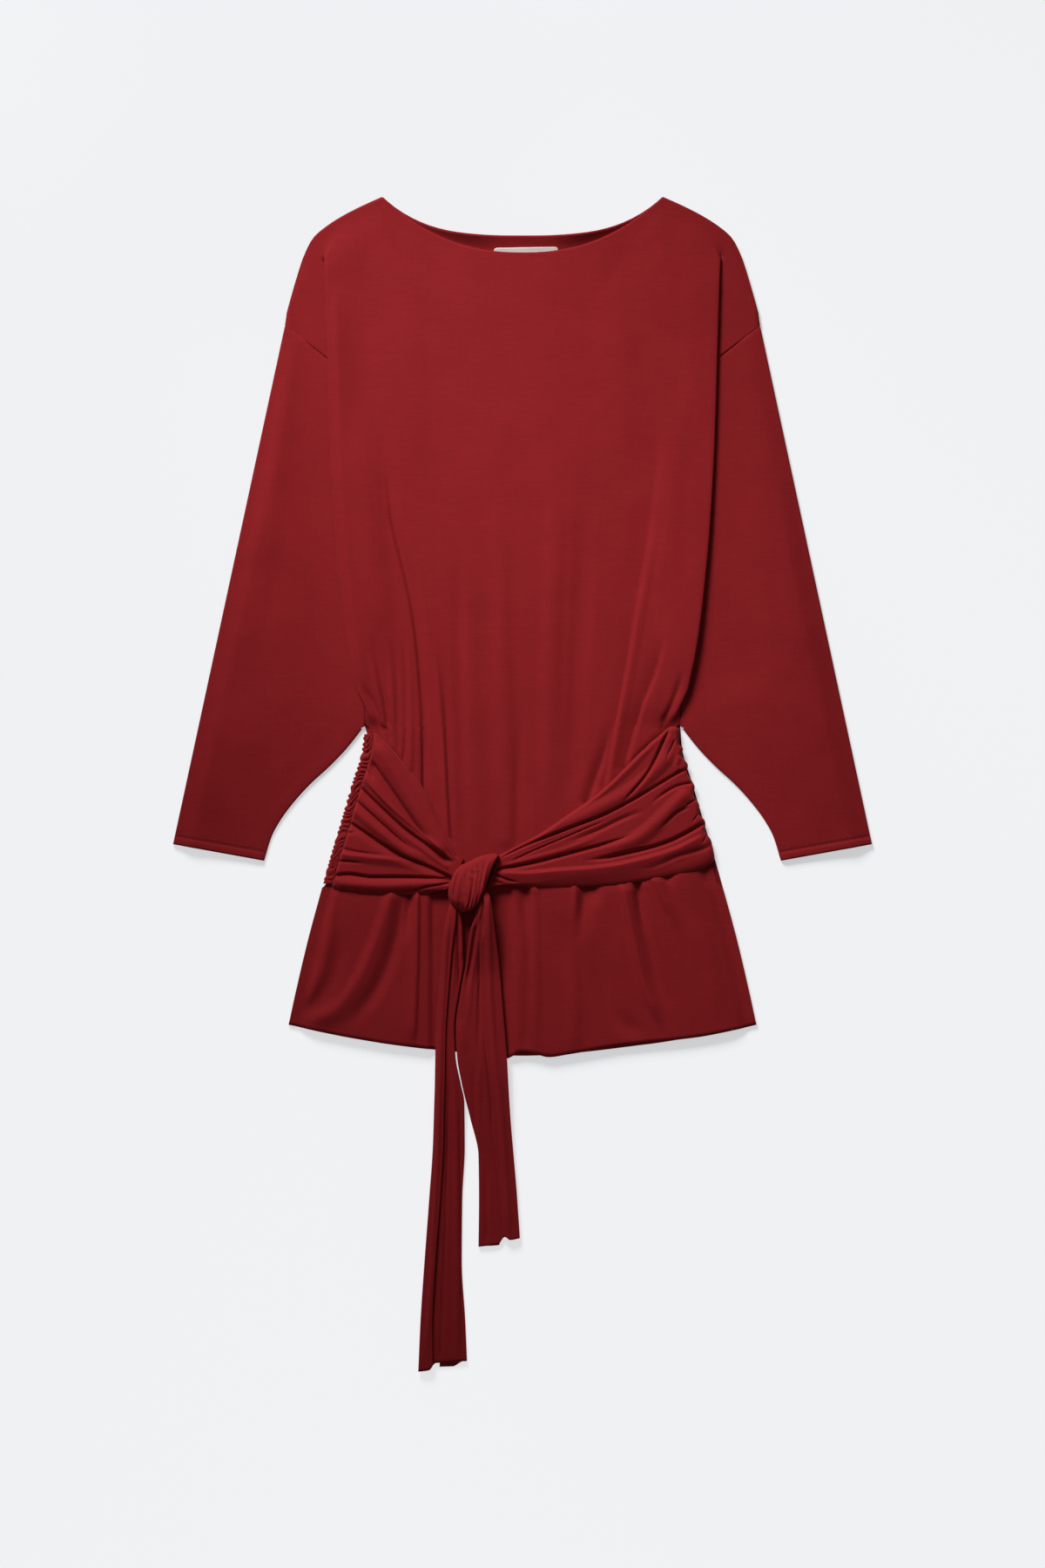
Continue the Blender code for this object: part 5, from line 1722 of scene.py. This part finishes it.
@dataclass
class Tail:
    """A free end of the sash, folded lengthwise in three layers.

    stations gives, at each height y, the fold's edge, where the upper layer ends, the
    other edge, and where the lower layer ends.
    """

    name: str
    stations: tuple[tuple[float, float, float, float, float], ...]
    folds: tuple[Fold, ...]
    top_folds: tuple[Fold, ...] = ()
    rows: int = 150
    refine: int = 8
    over_skirt_z: float = PRESSED_Z + CLOTH / 2 + 1.4
    # how it comes out of the knot, and where it sinks from the skirt to the ground
    out_of_knot: float = 6.0
    out_y: Span = (-190.0, -120.0)
    tucked: Span = (-108.0, -120.0)
    tucked_share: float = 0.2
    drop: Span = (-375.0, -262.0)
    relief: float = 1.3
    lap_rise: float = 1.2
    lap_bend: float = 0.7
    main_rise: float = 0.3
    # how far the end is drawn up across it, and how far up that reaches
    end_x: tuple[float, ...] = (-200.0, 0.0)
    end_rise: tuple[float, ...] = (0.0, 0.0)
    end_reach: float = 45.0
    under_end: float = 0.5
    under_in: Span = (3.0, 14.0)
    cut: Cut = Cut(0.10, 0.45, 0.026, "folded", ("front_body", "ground"))

    def grid(self) -> Array:
        """The middle surface of the wall."""
        heights, *edges = zip(*self.stations)
        fold_at, lap_at, side_at, under_at = (Curve(heights, edge) for edge in edges)
        turn = LAYER / 2
        inset = CLOTH / 2 + turn
        # where the upper and the main layer lie in a section, and the lower one starts
        top = slice(0, 2 * self.refine)
        middle = slice(8 * self.refine, 11 * self.refine + 1)
        under_start = 11 * self.refine
        rows = []
        for y in np.linspace(heights[0], heights[-1], self.rows):
            fold, lap, side, under = (float(at(y)) for at in (fold_at, lap_at, side_at, under_at))
            sign = 1 if side > fold else -1
            tucked = self.tucked_share + (1 - self.tucked_share) * ramp(*self.tucked, y)
            rest = self.over_skirt_z * ramp(*self.drop, y)
            low = rest + self.out_of_knot * ramp(*self.out_y, y) * tucked + CLOTH / 2
            main, high = low + LAYER, low + 2 * LAYER
            near_fold, near_side = fold + sign * inset, side - sign * inset
            bulge = main + self.main_rise
            section = [
                (lap, high + self.lap_rise),
                ((lap + near_fold) / 2, high + self.lap_bend * self.lap_rise),
                (near_fold, high),
                *half_turn(near_fold, high, -sign, turn),
                (near_fold, main),
                ((2 * near_fold + near_side) / 3, bulge),
                ((near_fold + 2 * near_side) / 3, bulge),
                (near_side, main),
                *half_turn(near_side, main, sign, turn),
                (near_side, low),
                ((near_side + under) / 2, low),
                (under, low),
            ]
            x, z = refined(section, self.refine).T
            near_end = ramp(heights[-1] + self.end_reach, heights[-1], y)
            rise = near_end * Curve(self.end_x, self.end_rise)(x)
            from_side = ramp(*self.under_in, np.abs(x[under_start:] - side))
            rise[under_start:] *= 1 - self.under_end * from_side
            rows.append(np.column_stack([x, y + rise, z]))
        grid = np.stack(rows)
        x, y = grid[..., 0], grid[..., 1]
        for part, folds in ((top, self.top_folds), (middle, self.folds)):
            grid[:, part, 2] += self.relief * lifted(folds, x[:, part], y[:, part])
        return grid

    def build(self, finish: bpy.types.Material) -> None:
        """Makes the tail, hides the frame's part that it stands for and logs it."""
        dress(shell(f"{self.name}_shell", self.grid()), finish, self.name, self.cut)


LONG_TAIL = (
    (-109, -68.5, -64.0, -60.0, -62.5),
    (-118, -70.5, -63.8, -60.0, -62.5),
    (-127, -73.0, -64.0, -59.0, -63.0),
    (-145, -76.5, -66.2, -57.0, -64.0),
    (-170, -79.0, -69.0, -56.5, -66.0),
    (-200, -81.0, -71.5, -61.0, -68.0),
    (-235, -83.5, -74.0, -65.5, -70.0),
    (-262, -84.0, -74.5, -64.5, -70.0),
    (-290, -84.5, -75.0, -59.2, -70.0),
    (-306, -85.0, -75.5, -56.0, -70.5),
    (-350, -86.5, -76.5, -55.6, -72.0),
    (-400, -90.0, -79.5, -58.0, -76.0),
    (-460, -94.5, -84.0, -58.5, -78.0),
    (-520, -98.5, -87.0, -55.0, -79.0),
    (-566, -100.5, -86.5, -53.5, -80.0),
)
SHORT_TAIL = (
    (-103, -34.0, -37.0, -39.5, -38.0),
    (-108, -31.5, -37.2, -41.0, -39.0),
    (-116, -29.6, -36.6, -42.5, -39.5),
    (-126, -28.2, -36.8, -45.0, -40.0),
    (-140, -26.5, -38.0, -50.0, -40.5),
    (-158, -24.0, -40.6, -52.5, -41.5),
    (-170, -22.5, -40.4, -54.0, -42.0),
    (-200, -20.0, -39.5, -59.6, -43.0),
    (-235, -17.0, -38.0, -64.2, -44.0),
    (-262, -15.0, -35.0, -63.0, -42.0),
    (-290, -13.5, -31.5, -58.2, -38.0),
    (-322, -11.5, -28.5, -50.3, -33.0),
    (-358, -8.5, -26.0, -42.5, -28.0),
    (-400, -5.0, -22.0, -42.0, -24.0),
    (-446, -2.5, -18.0, -42.5, -22.0),
)
LONG_TAIL_FOLDS = (
    Fold(
        ((-63, -124), (-62.5, -140), (-62, -155), (-61.5, -175), (-61, -204)),
        -2.4, 1.5, 2.4, 1.1, (0.1, 0.3),
    ),
    Fold(((-59.5, -130), (-58, -150), (-59, -172)), 1.2, 2, 2.2, 1.5, (0.3, 0.3)),
    Fold(((-66, -150), (-66, -175), (-67, -205)), 0.8, 2, 2, 1.5, (0.3, 0.3)),
    Fold(
        ((-69, -250), (-70.5, -290), (-71.5, -330), (-74, -420), (-79, -560)),
        -1.6, 1.8, 3, 1.1, (0.3, 0.05),
    ),
    Fold(
        ((-66, -262), (-65, -300), (-64, -340), (-64, -420), (-63, -560)),
        1.0, 4, 4, 1.6, (0.2, 0.1),
    ),
    Fold(
        ((-60.5, -285), (-59.5, -330), (-59.5, -400), (-58, -560)),
        -1.0, 1.8, 2.4, 1.2, (0.3, 0.1),
    ),
)
LONG_TAIL_TOP_FOLDS = (
    Fold(
        (
            (-71, -124), (-73, -150), (-75.5, -190), (-78, -235), (-79.5, -290), (-83, -400),
            (-93, -560),
        ),
        1.1, 3.6, 5, 1.6, (0.05, 0.1),
    ),
    Fold(((-80, -350), (-82, -400), (-88, -480)), -0.6, 2, 2.5, 1.3, (0.4, 0.4)),
)
SHORT_TAIL_FOLDS = (
    # the hollow at the upper left, the ridges beside it and its bright rim
    Fold(((-39.5, -108), (-40.5, -120), (-42, -134)), 1.4, 2, 2, 1.5, (0.2, 0.4)),
    Fold(
        ((-43.5, -132), (-46, -148), (-49, -168), (-52, -186), (-54.5, -206)),
        -3.4, 2.4, 3.6, 1.1, (0.15, 0.4),
    ),
    Fold(((-45, -158), (-48, -182), (-51, -208), (-52.5, -238)), 1.6, 2.2, 3, 1.4, (0.3, 0.4)),
    Fold(((-60, -222), (-57, -244), (-54, -262)), 1.1, 6, 7, 2.0, (0.4, 0.4)),
    # pleats below it
    Fold(((-41.5, -150), (-41, -185), (-41.5, -225), (-42, -262)), -2.2, 3, 4, 1.1, (0.2, 0.3)),
    Fold(((-41, -262), (-41.5, -300), (-42.5, -340)), 0.9, 1.6, 2, 1.3, (0.2, 0.3)),
    Fold(((-46, -262), (-46.5, -300), (-45, -340)), -0.9, 2.5, 3, 1.3, (0.3, 0.3)),
    Fold(
        ((-36, -214), (-34.5, -250), (-32, -280), (-29.5, -310), (-28, -350)),
        -1.4, 2, 4, 1.2, (0.2, 0.3),
    ),
    Fold(((-35, -360), (-35, -400), (-34, -440)), -0.9, 2.4, 3.4, 1.3, (0.4, 0.05)),
)
SHORT_TAIL_TOP_FOLDS = (
    Fold(
        (
            (-33, -108), (-32.5, -122), (-32, -150), (-31, -200), (-26, -260), (-20, -320),
            (-12, -440),
        ),
        1.3, 4, 6, 1.6, (0.02, 0.1),
    ),
    Fold(((-36.0, -118), (-37.0, -134), (-38.5, -150)), -1.2, 1.4, 2, 1.1, (0.2, 0.4)),
    Fold(((-28, -210), (-25, -260), (-20, -320)), -0.6, 2, 2.4, 1.3, (0.4, 0.4)),
)


@dataclass
class NeckLabel:
    """The woven label sewn to the inside of the back, blank."""

    size: tuple[float, float] = (62.0, 21.0)
    centre: tuple[float, float] = (3.5, 506.5)
    thickness: float = 0.8
    corner: float = 0.9
    corner_powers: tuple[int, int] = (24, 10)
    tilt: float = 0.018
    curl: float = 0.2
    curl_up: Span = (0.6, 1.0)
    # share of the curl that comes and goes along the edge, and how quickly
    curl_wave: Span = (0.4, 6)
    unevenness: float = 0.05
    uneven_rates: Span = (9, 2)
    columns: int = 60
    rows: int = 24
    cut: Cut = Cut(0.063, 0.0245, 0.00150, "laid", ("back_body",))

    def build(self, finish: bpy.types.Material) -> None:
        """Makes the label, hides the frame's part that it stands for and logs it."""
        u, v = np.meshgrid(np.linspace(-1, 1, self.columns), np.linspace(-1, 1, self.rows))
        half_w, half_l = self.size[0] / 2, self.size[1] / 2
        across_power, along_power = self.corner_powers
        round_in = self.corner * np.abs(u) ** across_power * np.abs(v) ** along_power
        x, y = u * (half_w - round_in), v * (half_l - round_in)
        px, py = self.centre[0] + x - self.tilt * y, self.centre[1] + y + self.tilt * x
        low = BackBody.inside(px, py) + CLOTH / 2 + SEAM_GAP + self.thickness / 2
        share, rate = self.curl_wave
        curl = self.curl * ramp(*self.curl_up, v) * (1 - share + share * np.sin(rate * u))
        u_rate, v_rate = self.uneven_rates
        z = low + curl + self.unevenness * np.sin(u_rate * u + v_rate * v)
        piece = shell("label_shell", np.stack([px, py, z], axis=-1), self.thickness)
        dress(piece, finish, "neck_label", self.cut, Slot.LABEL)


@dataclass
class Stitching:
    """Rows of thread that show: the hems of the cuffs."""

    length: float = 2.6
    gap: float = 0.7
    width: float = 0.42
    sides: int = 6
    rings: int = 5
    # each row's height over the cuff's edge, and how far in from the sleeve's edges it ends
    seats: tuple[float, ...] = (7.8, 10.9)
    end_columns: int = 2
    thinning: float = 0.8
    dip: float = 0.22
    over_cloth: float = 0.02

    def _stitch(self) -> Array:
        """The points of one stitch along X: a small bar that dips into the cloth at its ends."""
        angle = np.linspace(0, 2 * math.pi, self.sides, endpoint=False)
        share = np.linspace(-1, 1, self.rings)[:, None]
        radius = self.width / 2 * np.sqrt(1 - self.thinning * share**4)
        x = share * self.length / 2 + 0 * angle
        z = radius * np.sin(angle) - self.dip * share**2
        return np.stack([x, radius * np.cos(angle), z], axis=-1).reshape(-1, 3)

    def _row(self, start: Array, end: Array, height: Curve) -> tuple[Array, list[list[int]]]:
        """A straight row of stitches.

        Args:
            start: Where it starts, in the plane.
            end: Where it ends.
            height: The height of the cloth at shares of the row.

        Returns:
            The row's points and faces.
        """
        stitch, stitch_faces = self._stitch(), tube_faces(self.rings, self.sides)
        step = end - start
        span = float(np.linalg.norm(step))
        count = int(span // (self.length + self.gap))
        along = step / span
        across = np.array([-along[1], along[0]])
        points, faces = [], []
        for k in range(count):
            share = (k + 0.5) / count
            flat = start + share * step + stitch[:, :1] * along + stitch[:, 1:2] * across
            points.append(np.column_stack([flat, stitch[:, 2] + height(share)]))
            faces += [[i + k * len(stitch) for i in face] for face in stitch_faces]
        return np.concatenate(points), faces

    def build(self, sleeves: Sequence[Sleeve], finish: bpy.types.Material) -> None:
        """Makes the stitches of the cuffs' hems.

        Args:
            sleeves: The sleeves whose hems are sewn.
            finish: The thread.
        """
        for sleeve in sleeves:
            grid = sleeve.grid()
            name = sleeve.side.name.lower()
            for number, seat in enumerate(self.seats, 1):
                row = int(np.argmin(np.abs(grid[:, 0, 1] - CUFF_Y - seat)))
                line = grid[row, self.end_columns : sleeve.front_columns - self.end_columns]
                heights = line[:, 2] + CLOTH / 2 + self.over_cloth
                level = Curve(np.linspace(0, 1, len(line)), heights)
                points, faces = self._row(line[0, :2], line[-1, :2], level)
                dress(solid(f"cuff_stitches_{name}_{number}", points, faces), finish)


# --- the studio ---------------------------------------------------------------------------


@dataclass
class Lamp:
    """A soft square light that points at a place."""

    name: str
    place: tuple[float, float, float]
    aim: tuple[float, float, float]
    size: float
    power: float
    spread: float = 180.0

    def build(self) -> None:
        """Makes the light."""
        data = bpy.data.lights.new(self.name, "AREA")
        data.shape = "SQUARE"
        data.size = self.size
        data.energy = self.power
        data.spread = math.radians(self.spread)
        lamp = bpy.data.objects.new(self.name, data)
        way = Vector(self.aim) - Vector(self.place)
        lamp.location = self.place
        lamp.rotation_euler = way.to_track_quat("-Z", "Y").to_euler()
        bpy.context.scene.collection.objects.link(lamp)


@dataclass
class Studio:
    """The floor, the light and the camera straight above the dress."""

    view_height: float = 1.512
    camera_height: float = 3.5
    sensor: float = 36.0
    far_clip: float = 50.0
    floor_size: float = 12.0
    floor_z: float = -0.05
    lamps: tuple[Lamp, ...] = (
        Lamp("key", (-0.52, 1.34, 0.86), (0.055, 0.135, 0.0), 0.6, 3.3, 49.0),
    )
    ambient: tuple[float, float, float] = (0.13, 0.13, 0.134)

    def build(self) -> None:
        """Makes the camera, the lights and the floor."""
        camera = bpy.data.cameras.new("camera")
        camera.sensor_width = self.sensor
        camera.lens = self.sensor * self.camera_height / self.view_height
        camera.clip_end = self.far_clip
        seat = bpy.data.objects.new("camera", camera)
        seat.location = (0, 0, self.camera_height)
        bpy.context.scene.collection.objects.link(seat)
        bpy.context.scene.camera = seat
        bpy.context.scene.view_settings.view_transform = "Standard"
        for lamp in self.lamps:
            lamp.build()
        world = bpy.data.worlds.new("studio")
        world.use_nodes = True
        world.node_tree.nodes["Background"].inputs["Color"].default_value = (*self.ambient, 1)
        bpy.context.scene.world = world
        half = self.floor_size / 2 / MM
        plan = ((-half, -half), (half, -half), (half, half), (-half, half))
        corners = np.array([(x, y, self.floor_z) for x, y in plan])
        floor = solid("floor", corners, [[0, 1, 2, 3]])
        floor.data.materials.append(StudioFloor().material("studio floor"))


def write_sizes() -> None:
    """Brings the scene's view layer up to date.
    """
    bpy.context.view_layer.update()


def main() -> None:
    """Builds the dress and the studio in order."""
    logging.basicConfig(level=logging.INFO, format="%(name)s: %(message)s")
    Studio().build()
    jersey = Jersey().material("red jersey")
    BackBody().build(jersey)
    sleeves = [
        Sleeve(Side.RIGHT, RIGHT_SLEEVE_FOLDS, pleat_reach=60.0),
        Sleeve(Side.LEFT, LEFT_SLEEVE_FOLDS, pleat_reach=95.0),
    ]
    for sleeve in sleeves:
        sleeve.build(jersey)
    FrontBody().build(jersey)
    SashHalf(
        Side.RIGHT, RIGHT_UPPER, RIGHT_LOWER, RIGHT_SASH_FOLDS, rolls=(8.0, 12.0)
    ).build(jersey)
    SashHalf(
        Side.LEFT,
        LEFT_UPPER,
        LEFT_LOWER,
        LEFT_SASH_FOLDS,
        LEFT_SCALLOPS,
        inset=0.4,
        along_steps=155,
        cut=Cut(0.23, 0.14, 0.0230, "gathered", ("front_body",)),
    ).build(jersey)
    Knot().build(jersey)
    Tail(
        "tail_long",
        LONG_TAIL,
        LONG_TAIL_FOLDS,
        LONG_TAIL_TOP_FOLDS,
        end_x=(-100, -90, -84, -70, -54),
        end_rise=(0, 1.5, 8, 9, 10),
    ).build(jersey)
    Tail(
        "tail_short",
        SHORT_TAIL,
        SHORT_TAIL_FOLDS,
        SHORT_TAIL_TOP_FOLDS,
        out_of_knot=12.0,
        tucked=(-98.0, -109.0),
        cut=Cut(0.11, 0.36, 0.026, "folded", ("front_body", "ground")),
        end_x=(-43, -23, -17, -12, -1),
        end_rise=(0, 3, 10, 7, 9),
    ).build(jersey)
    NeckLabel().build(LabelSatin().material("white label satin"))
    Stitching().build(sleeves, Thread().material("red thread"))
    write_sizes()


if __name__ == "__main__":
    main()
